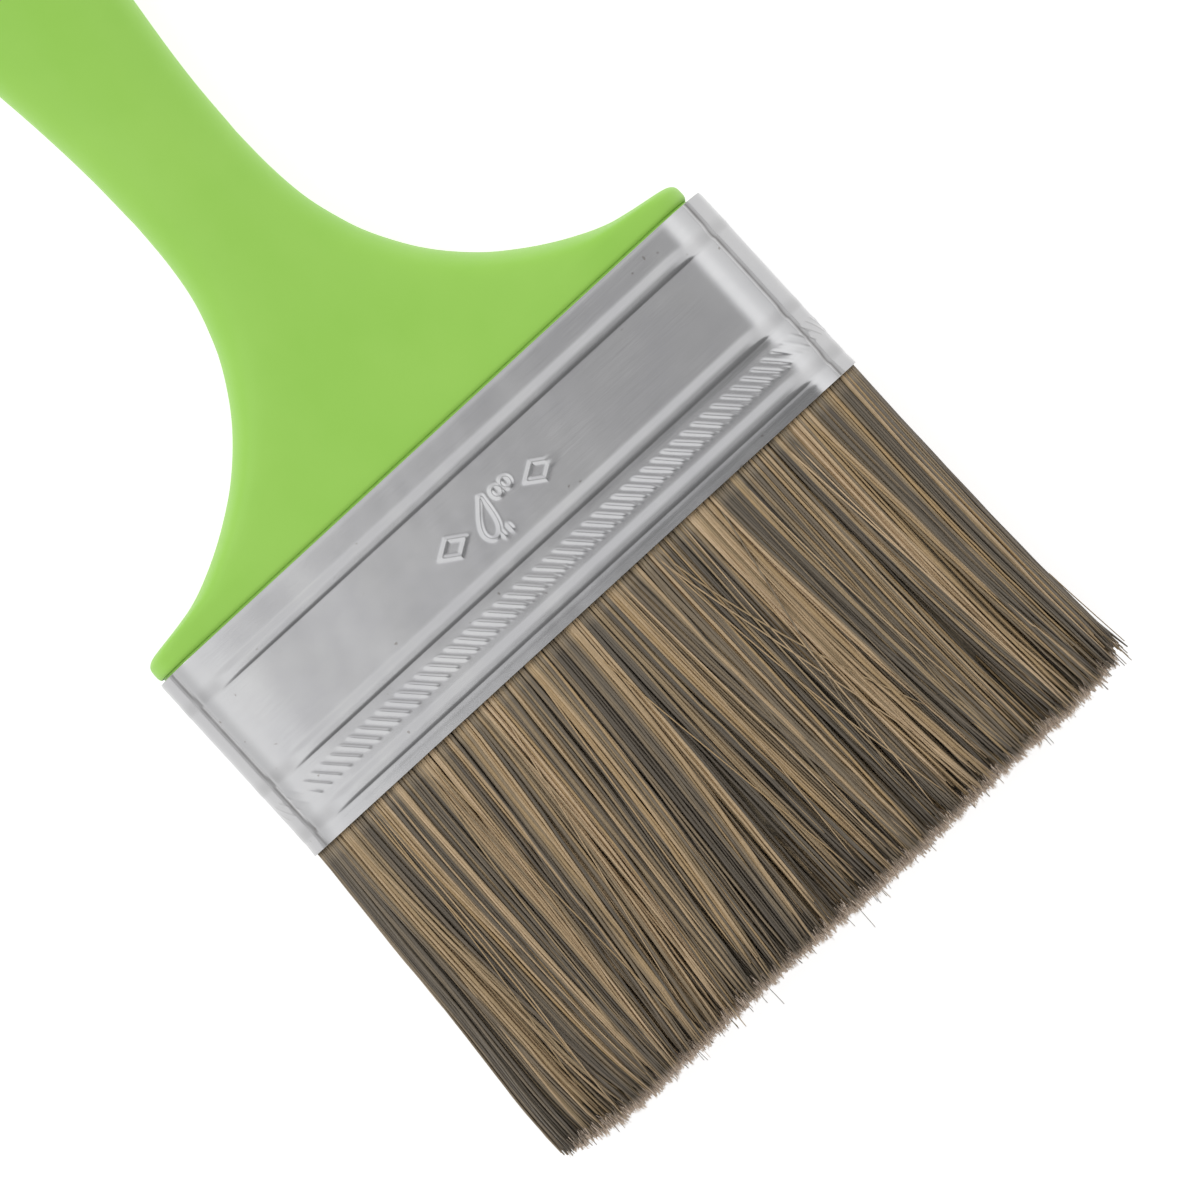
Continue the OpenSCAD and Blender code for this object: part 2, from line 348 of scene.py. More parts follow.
def amber_resin():
    k = Mat("amber_resin")
    n = k.noise(k.obj(), 420, 4, 0.6)
    k.link(k.ramp(n, [(0.3, (0.36, 0.22, 0.07)), (0.6, (0.58, 0.40, 0.16)), (0.8, (0.68, 0.50, 0.24))]), k.b.inputs["Base Color"])
    k.link(k.map(n, 0.3, 0.7, 0.15, 0.35), k.b.inputs["Roughness"])
    k.link(k.bump(n, 0.3, 0.0003), k.b.inputs["Normal"])
    return k.m


def plug_wood():
    k = Mat("plug_softwood")
    n = k.noise(k.obj((60, 900, 900)), 1.0, 4, 0.6)
    k.link(k.ramp(n, [(0.3, (0.42, 0.27, 0.13)), (0.5, (0.62, 0.44, 0.24)), (0.7, (0.72, 0.55, 0.33))]), k.b.inputs["Base Color"])
    k.link(k.map(n, 0.3, 0.7, 0.55, 0.8), k.b.inputs["Roughness"])
    k.link(k.bump(n, 0.4, 0.0002), k.b.inputs["Normal"])
    return k.m


def soaked_roots():
    k = Mat("resin_soaked_roots")
    n = k.noise(k.obj((2400, 90, 2400)), 1.0, 3, 0.6)
    k.link(k.ramp(n, [(0.3, (0.07, 0.05, 0.03)), (0.55, (0.24, 0.165, 0.085)), (0.75, (0.40, 0.28, 0.14))]), k.b.inputs["Base Color"])
    k.link(k.map(n, 0.3, 0.7, 0.2, 0.5), k.b.inputs["Roughness"])
    k.link(k.bump(n, 0.6, 0.0002), k.b.inputs["Normal"])
    return k.m


M_GREEN, M_TIN, M_FIL, M_FUZZ, M_PACK = plastic_green(), tinplate(), filament(), fuzz(), dark_pack()

# ---------------------------------------------------------------- camera
# Looks down on the front face, rolled so that the handle points to the upper left,
# and a few degrees towards the right-hand narrow end.
cam_data = bpy.data.cameras.new("camera")
cam = bpy.data.objects.new("camera", cam_data)
bpy.context.scene.collection.objects.link(cam)
DIST = 850.0
FIELD = 1200 / 7.203
TILT = math.radians(4.0)
target = np.array([2.78, Y_EDGE - 32.5, Z_MID + 3.0])
back = np.array([math.sin(TILT), 0, math.cos(TILT)])
up = np.array([0.67559542, 0.73727256, 0.0])
up = up - back * up.dot(back)
up /= np.linalg.norm(up)
right = np.cross(up, back)
R = Matrix(((right[0], up[0], back[0]), (right[1], up[1], back[1]), (right[2], up[2], back[2])))
cam.rotation_mode = "QUATERNION"
cam.rotation_quaternion = R.to_quaternion()
cam.location = Vector((target + back * DIST) * MM)
cam_data.sensor_width = 36.0
cam_data.lens = 36.0 * DIST / FIELD
cam_data.clip_start, cam_data.clip_end = 0.05, 50.0
bpy.context.scene.camera = cam


# ---------------------------------------------------------------- handle
SHOULDER = [[0, 1], [2.4, 1], [3.1, 0.99], [3.6, 0.966], [3.95, 0.92], [4.4, 0.85], [5.2, 0.755], [6.7, 0.657],
            [9.3, 0.533], [12.6, 0.41], [15, 0.338], [18, 0.264], [21, 0.203], [24, 0.154], [27, 0.112],
            [30, 0.079], [36, 0.032], [42, 0.009], [49, 0], [55, 0]]
SWELL = [[0, 0], [0.1, 0.04], [0.2, 0.19], [0.35, 0.5], [0.5, 0.8], [0.65, 0.96], [0.78, 1], [1, 1]]
THICK = [[0, 0.894], [5, 0.9], [20, 0.93], [45, 0.95], [70, 0.95], [95, 0.99], [105, 1], [114, 0.97],
         [123, 0.85], [127, 0.84], [136, 0.84], [145, 0.84]]
FLAT = [[0, 9], [6, 7], [20, 4], [45, 2.6], [70, 2.2], [100, 2.2], [118, 3.5], [130, 7], [145, 7]]
NECK_W, GRIP_W = 19.4, 30.6
LIP_W = FER_W - 2 * SHEET - 1.2
LIP_T = FER_T - 2 * SHEET
END_R, EDGE_R = 16.0, 5.0


# The shoulder leans a little to one side, and the neck comes back towards the middle
SHIFT = [[0, -0.78], [10, -0.77], [17, -0.70], [24, -0.58], [36, -0.46], [50, -0.41], [62, -0.36], [72, -0.28],
         [84, -0.3], [100, -0.4], [118, -0.5], [145, -0.5]]
TRIM = [[0, 0.2], [3, 0.25], [12, 0.3], [30, 0.26], [42, 0.17], [52, 0.1], [62, 0.0], [145, 0.0]]


def half_w(t):
    base = np.where(t <= 50, NECK_W / 2 + (LIP_W - NECK_W) / 2 * table(SHOULDER, t),
                    NECK_W / 2 + (GRIP_W - NECK_W) / 2 * table(SWELL, (t - 50) / (HANDLE_LEN - 50)))
    e = np.clip((t - (HANDLE_LEN - END_R)) / END_R, 0, 1)
    return (base - table(TRIM, t)) * np.sqrt(np.maximum(0.001, 1 - e**2.3))


def half_t(t):
    base = (FER_T / 2 + BEAD) * table(THICK, t)
    base = np.where(t < 3, np.minimum(base, LIP_T / 2), base)
    e = np.clip((t - (HANDLE_LEN - EDGE_R)) / EDGE_R, 0, 1)
    return base * np.sqrt(np.maximum(0.05, 1 - e**2.2))


def build_handle():
    t = np.concatenate([
        np.linspace(0.45, 2.3, 7), np.linspace(2.45, 4.6, 22), np.linspace(4.8, 8, 16)[0:], np.linspace(8.4, 16, 18),
        np.linspace(16.8, 50, 34), np.linspace(51.5, HANDLE_LEN - 22, 40), np.linspace(HANDLE_LEN - 21, HANDLE_LEN - 5, 22),
        HANDLE_LEN - 5 * (1 - np.sin(np.linspace(0.06, 1, 18) * math.pi / 2))])
    fine = np.array([0, 0.35, 0.8, 1.4, 2.3, 3.6])
    quarter = np.concatenate([fine, np.linspace(5.5, 90, 19)])
    q = np.concatenate([quarter, (180 - quarter[:-1])[::-1]])
    ang = np.radians(np.concatenate([q, (180 + q[1:-1])]))
    n, m = len(ang), len(t)
    c, s = np.cos(ang), np.sin(ang)
    a, b, p = half_w(t), half_t(t), table(FLAT, t)
    b = np.minimum(b, a)
    ca = np.abs(c)[None, :]
    x = np.sign(c)[None, :] * ((a - b)[:, None] * (1 - (1 - ca) ** p[:, None]) + b[:, None] * ca)
    z = b[:, None] * s[None, :]
    # moulding line round the edge: a ridge a few hundredths high
    ridge = 0.07 * np.exp(-(z / 0.14) ** 2) * smooth(0.4, 1.5, t)[:, None]
    x = x + np.sign(c)[None, :] * ridge
    # foot of the shoulder is slightly eased where it meets the ferrule
    ease = (0.22 * (1 - smooth(0.45, 0.95, t)) ** 1.5)[:, None]
    x -= np.sign(c)[None, :] * ease * ca
    z -= ease * s[None, :] * 0.9
    y = np.repeat((Y_EDGE + t)[:, None], n, 1)
    shift = table(SHIFT, t)[:, None] + 0.5
    V = np.stack([x + HANDLE_X + shift, y, z + Z_MID], -1).reshape(-1, 3)
    i = np.arange(m - 1)[:, None] * n
    j = np.arange(n)[None, :]
    j2 = (j + 1) % n
    quads = np.stack([i + j, i + n + j, i + n + j2, i + j2], -1).reshape(-1, 4)[:, ::-1]
    # end cap: a centre point
    top = len(V)
    V = np.vstack([V, [[HANDLE_X, Y_EDGE + HANDLE_LEN + 0.02, Z_MID]]])
    jj = np.arange(n)
    cap = np.stack([(m - 1) * n + jj, np.full(n, top), (m - 1) * n + (jj + 1) % n], -1)[:, ::-1]
    # tongue inside the ferrule: the same outline a little smaller
    tt = np.array([0.45, 0.4, 0.0, -3.8, -4.2, -4.4, -5.4, -5.6, -6.0, -8.6, -8.95])
    tw = np.array([0.5, 0.55, 0.2, 0.2, 0.2, 0, 0, 0.2, 0.2, 0.2, 0.5])
    rib = np.array([0, 0, 0, 0, 0, 0.36, 0.36, 0, 0, 0, 0])
    base_x, base_z = x[0] , z[0]
    rows = []
    for k in range(len(tt)):
        sx = 1 - (tw[k]) / LIP_W
        sz = 1 - (tw[k] * 0.9) / LIP_T
        zz = base_z * sz
        xx = base_x * sx
        flat = (np.abs(xx) < LIP_W / 2 - LIP_T / 2 - 1)
        zz = zz + np.where(flat, np.sign(zz) * rib[k], 0)
        sh = shift[0, 0] * float(smooth(0.3, 0.45, tt[k]))
        rows.append(np.stack([xx + HANDLE_X + sh, np.full(n, Y_EDGE + tt[k]), zz + Z_MID], -1))
    off = len(V)
    V = np.vstack([V] + rows)
    r = len(tt)
    i = off + np.arange(r - 1)[:, None] * n
    more = np.stack([i + j, i + j2, i + n + j2, i + n + j], -1).reshape(-1, 4)[:, ::-1]
    join = np.stack([jj, (jj + 1) % n, off + (jj + 1) % n, off + jj], -1)[:, ::-1]
    last = (off + (r - 1) * n + np.arange(n))[None, :]
    ob = make_mesh("handle_moulding", V, [quads, cap, more, join, last[:, ::-1]])
    ob.data.materials.append(M_GREEN)
    # hanging hole with eased rims
    hr = 4.5
    hy, hx = Y_EDGE + HANDLE_LEN - 15.0, HANDLE_X
    bt = float(half_t(np.array([HANDLE_LEN - 15.0]))[0])
    rim = 1.1
    prof = [(hr + rim + 1.5, bt + 2.0), (hr + rim, bt + 0.01)]
    for e in range(1, 8):
        g = math.radians(90 * e / 8)
        prof.append((hr + rim - rim * math.sin(g), bt - rim * (1 - math.cos(g))))
    prof.append((hr, bt - rim))
    prof = prof + [(r_, -z_) for r_, z_ in prof[::-1]]
    seg = 72
    vv, ff = [], []
    for r_, z_ in prof:
        for k in range(seg):
            g = 2 * math.pi * k / seg
            vv.append((hx + r_ * math.cos(g), hy + r_ * math.sin(g), Z_MID + z_))
    for a_ in range(len(prof) - 1):
        for k in range(seg):
            k2 = (k + 1) % seg
            ff.append((a_ * seg + k, a_ * seg + k2, (a_ + 1) * seg + k2, (a_ + 1) * seg + k))
    cutter = make_mesh("cutter", vv, [np.array(ff)[:, ::-1],
                                      np.arange(seg)[None, :], ((len(prof) - 1) * seg + np.arange(seg))[None, ::-1]])
    for o in (ob, cutter):
        bm_fix_normals(o)
    mod = ob.modifiers.new("hole", "BOOLEAN")
    mod.operation, mod.solver, mod.object = "DIFFERENCE", "EXACT", cutter
    apply_modifiers(ob)
    bpy.data.objects.remove(cutter)
    ob.data.polygons.foreach_set("use_smooth", np.ones(len(ob.data.polygons), bool))
    mark_sharp(ob, 32)
    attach(ob, ROOT)
    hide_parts("handle")
    return ob


def apply_modifiers(ob):
    dg = bpy.context.evaluated_depsgraph_get()
    me = bpy.data.meshes.new_from_object(ob.evaluated_get(dg), depsgraph=dg)
    old = ob.data
    ob.modifiers.clear()
    ob.data = me
    bpy.data.meshes.remove(old)


def bm_fix_normals(ob):
    import bmesh
    bm = bmesh.new()
    bm.from_mesh(ob.data)
    bmesh.ops.recalc_face_normals(bm, faces=bm.faces)
    bm.to_mesh(ob.data)
    bm.free()


def mark_sharp(ob, degrees):
    import bmesh
    bm = bmesh.new()
    bm.from_mesh(ob.data)
    lim = math.radians(degrees)
    for e in bm.edges:
        if len(e.link_faces) == 2 and e.calc_face_angle(0) > lim:
            e.smooth = False
    bm.to_mesh(ob.data)
    bm.free()


handle = build_handle()


# ---------------------------------------------------------------- ferrule
FR = FER_T / 2                 # radius of the round ends
FF = FER_W / 2 - FR            # half the flat length
PERIM = 4 * FF + 2 * math.pi * FR
BEAD_AT = [3.58, 18.58, 27.10]
# A bead rises gently on the handle's side, and drops into a sharp valley on the tips' side: [place, slope]
SLOPES = np.array([[0, 0], [0.3, 0.45], [0.65, 0.9], [1.0, 1.0], [1.3, 0.72], [1.6, 0.42], [1.85, 0.0], [2.1, -0.2],
                   [2.3, -0.65], [2.5, -1.75], [2.68, -2.3], [2.82, -2.0], [2.93, 0.0]])
_b = np.linspace(0, 2.93, 294)
_h = np.concatenate([[0], np.cumsum(np.interp(_b[:-1] + 0.005, SLOPES[:, 0], SLOPES[:, 1])) * 0.01])
_h = np.where(_b > 1.85, _h.max() - (_h.max() - _h) * _h.max() / (_h.max() - _h[-1]), _h)
_h = _h / _h.max()


def stadium(u):
    """Point and outward normal at distance u along the outline, from the middle of the back towards +X."""
    u = np.mod(u, PERIM)
    x, z, nx, nz = (np.zeros_like(u) for _ in range(4))
    arc = math.pi * FR
    s1, s2, s3, s4 = FF, FF + arc, FF + arc + 2 * FF, FF + 2 * arc + 2 * FF
    k = u < s1
    x[k], z[k], nz[k] = u[k], -FR, -1
    k = (u >= s1) & (u < s2)
    g = (u[k] - s1) / FR - math.pi / 2
    x[k], z[k], nx[k], nz[k] = FF + FR * np.cos(g), FR * np.sin(g), np.cos(g), np.sin(g)
    k = (u >= s2) & (u < s3)
    x[k], z[k], nz[k] = FF - (u[k] - s2), FR, 1
    k = (u >= s3) & (u < s4)
    g = (u[k] - s3) / FR + math.pi / 2
    x[k], z[k], nx[k], nz[k] = -FF + FR * np.cos(g), FR * np.sin(g), np.cos(g), np.sin(g)
    k = u >= s4
    x[k], z[k], nz[k] = -(PERIM - u[k]), -FR, -1
    return x, z, nx, nz


def bead_profile(s):
    out = 0
    for a in BEAD_AT:
        out = out + np.interp(np.asarray(s, float) - a, _b, _h, left=0, right=0)
    return out


def drop(s):
    """The sheet steps in a little towards the mouth, below the second bead and again below the strokes."""
    return 0.10 * smooth(21.3, 22.6, s) + 0.04 * smooth(26.3, 27.1, s)


def emblem(x, s):
    """A plain stamped motif: a slanted leaf outline with small round dots, between two lozenges."""
    X, S = x - 1.35, s - 13.5
    h = np.zeros_like(X)
    for cx in (-8.3, 7.6):
        lx, ly = np.abs(X - cx) / 2.3, np.abs(S - 0.05) / 1.5
        d = np.abs(lx + ly - 1) * 1.26
        h = np.maximum(h, np.exp(-(d / 0.28) ** 2))
    ca, sa = math.cos(0.42), math.sin(0.42)
    ex, ey = (X + 2.0) * ca + (S - 0.1) * sa, -(X + 2.0) * sa + (S - 0.1) * ca
    wide = 0.35 + 1.30 * np.clip((ey + 3.2) / 5.6, 0, 1)
    r = np.sqrt((ex / wide) ** 2 + (ey / 3.1) ** 2) + 1e-6
    d = np.abs(r - 1) * r / (np.hypot(ex / wide**2, ey / 9.61) + 1e-6)
    h = np.maximum(h, np.exp(-(d / 0.28) ** 2) * smooth(-3.6, -3.1, ey))
    for cx, cy in ((1.35, -1.75), (3.15, -1.85)):
        d = np.abs(np.hypot(X - cx, (S - cy) * 0.92) - 0.72)
        h = np.maximum(h, np.exp(-(d / 0.26) ** 2))
    for cx in (-1.9, -0.5):
        d = np.hypot(X - cx, np.maximum(np.abs(S - 3.15) - 0.3, 0))
        h = np.maximum(h, np.exp(-(d / 0.34) ** 2))
    return h


STROKE_PITCH = PERIM / 120.0


def strokes(u, s, front):
    """The band of slanted stamped strokes."""
    s0, s1 = 23.05, 26.25
    mid = (s0 + s1) / 2
    pos = (u + (s - mid) * 0.97 + 0.07 * wobble(u, s * 0.3, 17, 9.0)) / STROKE_PITCH
    ends = smooth(s0 - 0.18, s0 + 0.32, s) * (1 - smooth(s1 - 0.32, s1 + 0.18, s))
    deep = 0.85 + 0.2 * wobble(u, s * 0.1, 19, 23.0, 1)
    q = (pos - np.floor(pos) - 0.5) * STROKE_PITCH / 1.39
    out = np.exp(-(q / 0.25) ** 2) * ends * deep
    # a short second bite of the stamp between the strokes, near the lower edge
    e2 = smooth(s1 - 0.75, s1 - 0.4, s) * (1 - smooth(s1 + 0.05, s1 + 0.45, s))
    q = (np.mod(pos, 1.0) - 0.02) * STROKE_PITCH / 1.39
    return out + 0.4 * np.exp(-(q / 0.17) ** 2) * e2 * front


CREASE = 43.6


def crease(x):
    return CREASE - 4.5 * (x < 0)


def ferrule_height(u, s):
    """How far the sheet's outer face stands off the plain outline."""
    x, z, nx, nz = stadium(u)
    tilt = np.degrees(np.arctan2(np.abs(nx), np.abs(nz)))   # 0 on the flats, 90 at the end's middle
    fade = 1 - 0.80 * smooth(-2.2, 2.6, np.abs(x) - FF)
    h = 0.235 * bead_profile(s) * fade - drop(s) * (1 - smooth(0.5, 5.0, np.abs(x) - FF))
    front = smooth(-0.2, 0.2, nz) * smooth(-25, 10, x)
    h = h + 0.072 * strokes(u, s, front) * (1 - 0.55 * smooth(43.0, 48.5, -x))
    h = h + 0.095 * emblem(x, s) * (nz > 0.9)
    # a slight crown, so that the flats do not mirror like glass
    flat = 1 - np.clip(np.abs(x) / FF, 0, 1) ** 2
    h = h + 0.13 * flat * (np.abs(nz) > 0.5)
    # the flats run into the round ends with an easy curve
    arc_d = np.where(tilt > 0.01, np.radians(tilt) * FR, -np.maximum(FF - np.abs(x), 0))
    h = h + 0.085 * np.exp(-((arc_d - 2.3) / 1.35) ** 2)
    ease = np.where(arc_d < 0, 0.09 * np.clip((arc_d + 5.5) / 5.5, 0, 1) ** 2,
                    (0.09 + 0.0327 * arc_d * np.exp(-arc_d / 1.5)) * (1 - smooth(3.0, 10.5, arc_d)))
    h = h - ease
    # press marks on the round ends
    d = (tilt - crease(x)) * math.pi / 180 * FR + 0.25 * bead_profile(s)
    h = h - 0.15 * np.exp(-(d / 0.34) ** 2)
    # lip at the mouth: turned in on the flats, a little flared at the ends
    lip = np.clip((s - 30.2) / (FER_H - 30.2), 0, 1)
    lip = lip * smooth(0, 0.35, lip)
    h = h - 0.27 * lip * (1 - smooth(10, 40, tilt)) + 0.17 * lip * smooth(30, 60, tilt)
    h = h - 0.05 * (1 - smooth(0, 0.7, s))
    # the sheet is never quite flat
    h = h + 0.014 * wobble(u, s, 3, 17.0) * (1 - 0.6 * bead_profile(s)) + 0.003 * wobble(u, s, 5, 5.0)
    # lapped seam down the middle of the back
    bx = np.where(nz < -0.9, x, 99.0)
    lap = smooth(-3.62, -3.50, bx) * (1 - smooth(2.2, 4.2, bx))
    h = h + 0.27 * lap
    for i in range(7):
        sc = 2.0 + i * 4.6
        d = np.maximum(np.abs(bx + 0.6) - 1.1, 0) ** 2 + ((s - sc) * 1.0) ** 2
        h = h - 0.14 * np.exp(-d / 0.20)
    back = nz < 0
    h = np.where(back, 0.36 - np.logaddexp(0, (0.36 - h) / 0.03) * 0.03 + 0.03, h)
    return h


def painted_shade(u, s):
    """Painted shade on the ferrule, 0..1: dark lines along the press marks, duller round ends, the beads' and strokes'
    shading over the ends, and a dark valley below each bead.
    """
    x, z, nx, nz = stadium(u)
    tilt = np.degrees(np.arctan2(np.abs(nx), np.abs(nz)))
    d = (tilt - crease(x)) * math.pi / 180 * FR + 0.25 * bead_profile(s)
    # painted shade: a dark line along each press mark, where the metal's reflection turns dark
    out = np.exp(-(d / 0.47) ** 2) * (0.92 + 0.12 * wobble(u, s, 23, 4.0))
    # painted shade: the round ends beyond the press marks made duller, darkening their reflection of the floor
    out = np.maximum(out, (0.40 + 0.14 * bead_profile(s)) * smooth(crease(x), crease(x) + 5, tilt))
    # painted shade: the beads' shading carried over the round ends
    out = np.maximum(out, 0.24 * bead_profile(s) * smooth(-1.0, 1.2, np.abs(x) - FF))
    # painted shade: the strokes' shading on the round ends
    out = np.maximum(out, 0.75 * strokes(u, s, 0 * s) * smooth(28.0, 40.0, tilt))
    # painted shade: a dark valley below each bead, where its lower flank turns away from the light
    for a in BEAD_AT:
        v = np.exp(-((s - a - 2.76) / 0.2) ** 2) * (0.34 + 0.14 * wobble(u, s, 29, 9.0))
        v = v * (1 - 0.75 * smooth(-1.0, 3.5, np.abs(x) - FF)) * (1 - 0.6 * smooth(30.0, 45.0, -x))
        out = np.maximum(out, v)
    return np.clip(out, 0, 1)


def ferrule_rows():
    base = [0.0, 0.06, 0.16, 0.32, 0.6, 1.0, 1.6, 2.3, 2.9]
    def bead(a):
        return [a + v for v in (0, 0.3, 0.47, 0.65, 0.82, 1.0, 1.3, 1.6, 1.85, 2.1, 2.3, 2.4, 2.5, 2.6, 2.68,
                                2.75, 2.82, 2.88, 2.94, 3.02, 3.15)]
    rows = base + bead(BEAD_AT[0]) + [6.9, 7.7, 8.6, 9.4] + list(np.linspace(9.7, 17.4, 40)) + [17.9, 18.3]
    rows += bead(BEAD_AT[1]) + [21.95, 22.3, 22.6]
    rows = sorted(rows)
    knurl = list(np.linspace(22.8, 26.8, 27))
    tail = bead(BEAD_AT[2]) + [30.35, 30.6, 30.85, 31.1, 31.5, 31.9, 32.1, FER_H - 0.40, FER_H - 0.33]
    return np.array(rows), np.array(knurl), np.array(sorted(tail))


def build_ferrule():
    # columns: coarse all round, finer over the emblem, the corners and the seam
    def span(a, b, step):
        return list(np.linspace(a, b, max(2, int(round((b - a) / step)) + 1))[:-1])
    arc = math.pi * FR
    s2 = FF + arc
    cols = span(0, 5, 0.35) + span(5, FF, 1.25)
    end = [0, 0.2, 0.45, 0.8, 1.2] + list(np.linspace(1.8, 4.9, 5)[:-1])
    corner = math.radians(90 - 43.0) * FR
    def end_cols(a):
        z = []
        z += span(a, a + corner - 0.9, 0.5)
        z += span(a + corner - 0.9, a + corner + 0.9, 0.14)
        z += span(a + corner + 0.9, a + arc - corner - 0.9, 0.5)
        z += span(a + arc - corner - 0.9, a + arc - corner + 0.9, 0.14)
        z += span(a + arc - corner + 0.9, a + arc, 0.5)
        return z
    cols += end_cols(FF)
    cols += span(s2, s2 + FF - 10.6, 1.0) + span(s2 + FF - 10.6, s2 + FF + 12.6, 0.165) + span(s2 + FF + 12.6, s2 + 2 * FF, 1.0)
    cols += end_cols(s2 + 2 * FF)
    cols += span(s2 + 2 * FF + arc, PERIM - 5, 1.25) + span(PERIM - 5, PERIM - 3.75, 0.35)
    cols += span(PERIM - 3.75, PERIM - 3.40, 0.05) + span(PERIM - 3.40, PERIM, 0.35)
    cols = np.array(cols)
    # dense columns for the stroke band, which contain every coarse one
    dense = []
    tie = []
    ext = np.concatenate([cols, [PERIM]])
    for a, b in zip(ext[:-1], ext[1:]):
        tie.append(len(dense))
        dense += span(a, b, 0.175)
    dense, tie = np.array(dense), np.array(tie)
    top, knurl, tail = ferrule_rows()

    verts, uvu, uvv = [], [], []

    def surface(us, ss):
        U, S = np.meshgrid(us, ss)
        U, S = U.ravel(), S.ravel()
        x, z, nx, nz = stadium(U)
        h = ferrule_height(U, S)
        return np.stack([x + nx * h, Y_EDGE - S, Z_MID + z + nz * h], -1), U, S

    groups_q, ngons = [], []
    P1, U1, S1 = surface(cols, top)
    P2, U2, S2 = surface(dense, knurl)
    P3, U3, S3 = surface(cols, tail)
    nc, nd = len(cols), len(dense)
    o1, o2, o3 = 0, len(P1), len(P1) + len(P2)

    def grid(o, rows, n):
        i = np.arange(rows - 1)[:, None] * n + o
        j = np.arange(n)[None, :]
        j2 = (j + 1) % n
        return np.stack([i + j, i + n + j, i + n + j2, i + j2], -1).reshape(-1, 4)

    groups_q.append(grid(o1, len(top), nc))
    groups_q.append(grid(o2, len(knurl), nd))
    groups_q.append(grid(o3, len(tail), nc))
    # stitch coarse rows to dense rows with fans of triangles
    tris = []
    def stitch(coarse_o, dense_o, flip):
        for a in range(nc):
            b = (a + 1) % nc
            d0 = tie[a]
            d1 = tie[b] if b else nd
            ids = [dense_o + (k % nd) for k in range(d0, d1 + 1)]
            half = len(ids) // 2
            for k in range(len(ids) - 1):
                c = coarse_o + (a if k < half else b)
                t = [c, ids[k], ids[k + 1]]
                tris.append(t if not flip else t[::-1])
            t = [coarse_o + a, ids[half], coarse_o + b]
            tris.append(t if not flip else t[::-1])
    stitch(o1 + (len(top) - 1) * nc, o2, False)
    stitch(o3, o2 + (len(knurl) - 1) * nd, True)
    # rolled edge and inner face
    P = [P1, P2, P3]
    inner_s = [FER_H - 0.31, FER_H - 0.36, 31.6, 29.6, 28.4, 26.5, 22.5, 20.4, 6.4, 4.9, 0.05, 0.0]
    depth = [0.10, 0.25] + [SHEET] * 8 + [0.25, 0.10]
    rows_in = []
    x, z, nx, nz = stadium(cols)
    for s_, d_ in zip(inner_s, depth):
        ss = np.full(nc, min(max(s_, 0.0), FER_H))
        tilt = np.degrees(np.arctan2(np.abs(nx), np.abs(nz)))
        h = 0.235 * bead_profile(ss) * (1 - 0.80 * smooth(-2.2, 2.6, np.abs(x) - FF)) - drop(ss) * (1 - smooth(0.5, 5.0, np.abs(x) - FF))
        h = h + 0.13 * (1 - np.clip(np.abs(x) / FF, 0, 1) ** 2) * (np.abs(nz) > 0.5)
        lip = np.clip((ss - 30.2) / (FER_H - 30.2), 0, 1)
        lip = lip * smooth(0, 0.35, lip)
        h = h - 0.27 * lip * (1 - smooth(10, 40, tilt)) + 0.17 * lip * smooth(30, 60, tilt) - 0.05 * (1 - smooth(0, 0.7, ss))
        rows_in.append(np.stack([x + nx * (h - d_), Y_EDGE - ss, Z_MID + z + nz * (h - d_)], -1))
    P4 = np.vstack(rows_in)
    o4 = o3 + len(P3)
    P.append(P4)
    groups_q.append(grid(o4, len(rows_in), nc))
    j = np.arange(nc)
    j2 = (j + 1) % nc
    lastr = o3 + (len(tail) - 1) * nc
    groups_q.append(np.stack([lastr + j, o4 + j, o4 + j2, lastr + j2], -1))
    firstr = o4 + (len(rows_in) - 1) * nc
    groups_q.append(np.stack([firstr + j, o1 + j, o1 + j2, firstr + j2], -1))
    V = np.vstack(P)
    quads = np.vstack(groups_q)[:, ::-1]
    tris = np.array(tris)[:, ::-1]
    # wrap map: distance round the ferrule and along it, in centimetres
    allu = np.concatenate([U1, U2, U3, np.tile(cols, len(rows_in))])
    alls = np.concatenate([S1, S2, S3, np.repeat(inner_s, nc)])
    def loop_uv(g):
        uu = allu[g]
        uu = np.where(uu.max(1, keepdims=True) - uu > PERIM / 2, uu + PERIM, uu)
        return np.stack([uu * 0.1, alls[g] * 0.1], -1).reshape(-1, 2)
    uvs = np.vstack([loop_uv(quads), loop_uv(tris)])
    ob = make_mesh("ferrule_sheet", V, [quads, tris], uvs=uvs, uv_name="wrap")
    # painted shade values for every outer point; the inner face gets none
    g = np.concatenate([painted_shade(U1, S1), painted_shade(U2, S2), painted_shade(U3, S3), np.zeros(len(P4))])
    assert len(ob.data.vertices) == len(g)
    at = ob.data.attributes.new("painted_shade", "FLOAT", "POINT")
    at.data.foreach_set("value", g.astype(np.float32))
    ob.data.materials.append(M_TIN)
    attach(ob, ROOT)
    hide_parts("ferrule")
    return ob


ferrule = build_ferrule()
print("ferrule faces", len(ferrule.data.polygons))

# ---------------------------------------------------------------- filaments
FL = 55.9                               # length outside the mouth, in the middle
LEFT = [[-3, 0], [0, 0], [8, 0.5], [18, 1.05], [28, 1.6], [38, 2.35], [44, 2.85], [50, 3.1], [56, 3.1]]
RIGHT = [[-3, 0], [0, 0], [8, -0.05], [18, 0.0], [28, 0.12], [38, 0.45], [48, 1.0], [56, 1.5]]
BELLY = [[-3, 6.30], [0, 6.45], [3, 6.75], [10, 7.1], [25, 7.4], [42, 7.1], [50, 6.7], [56, 6.3]]
HALF_W = 50.55
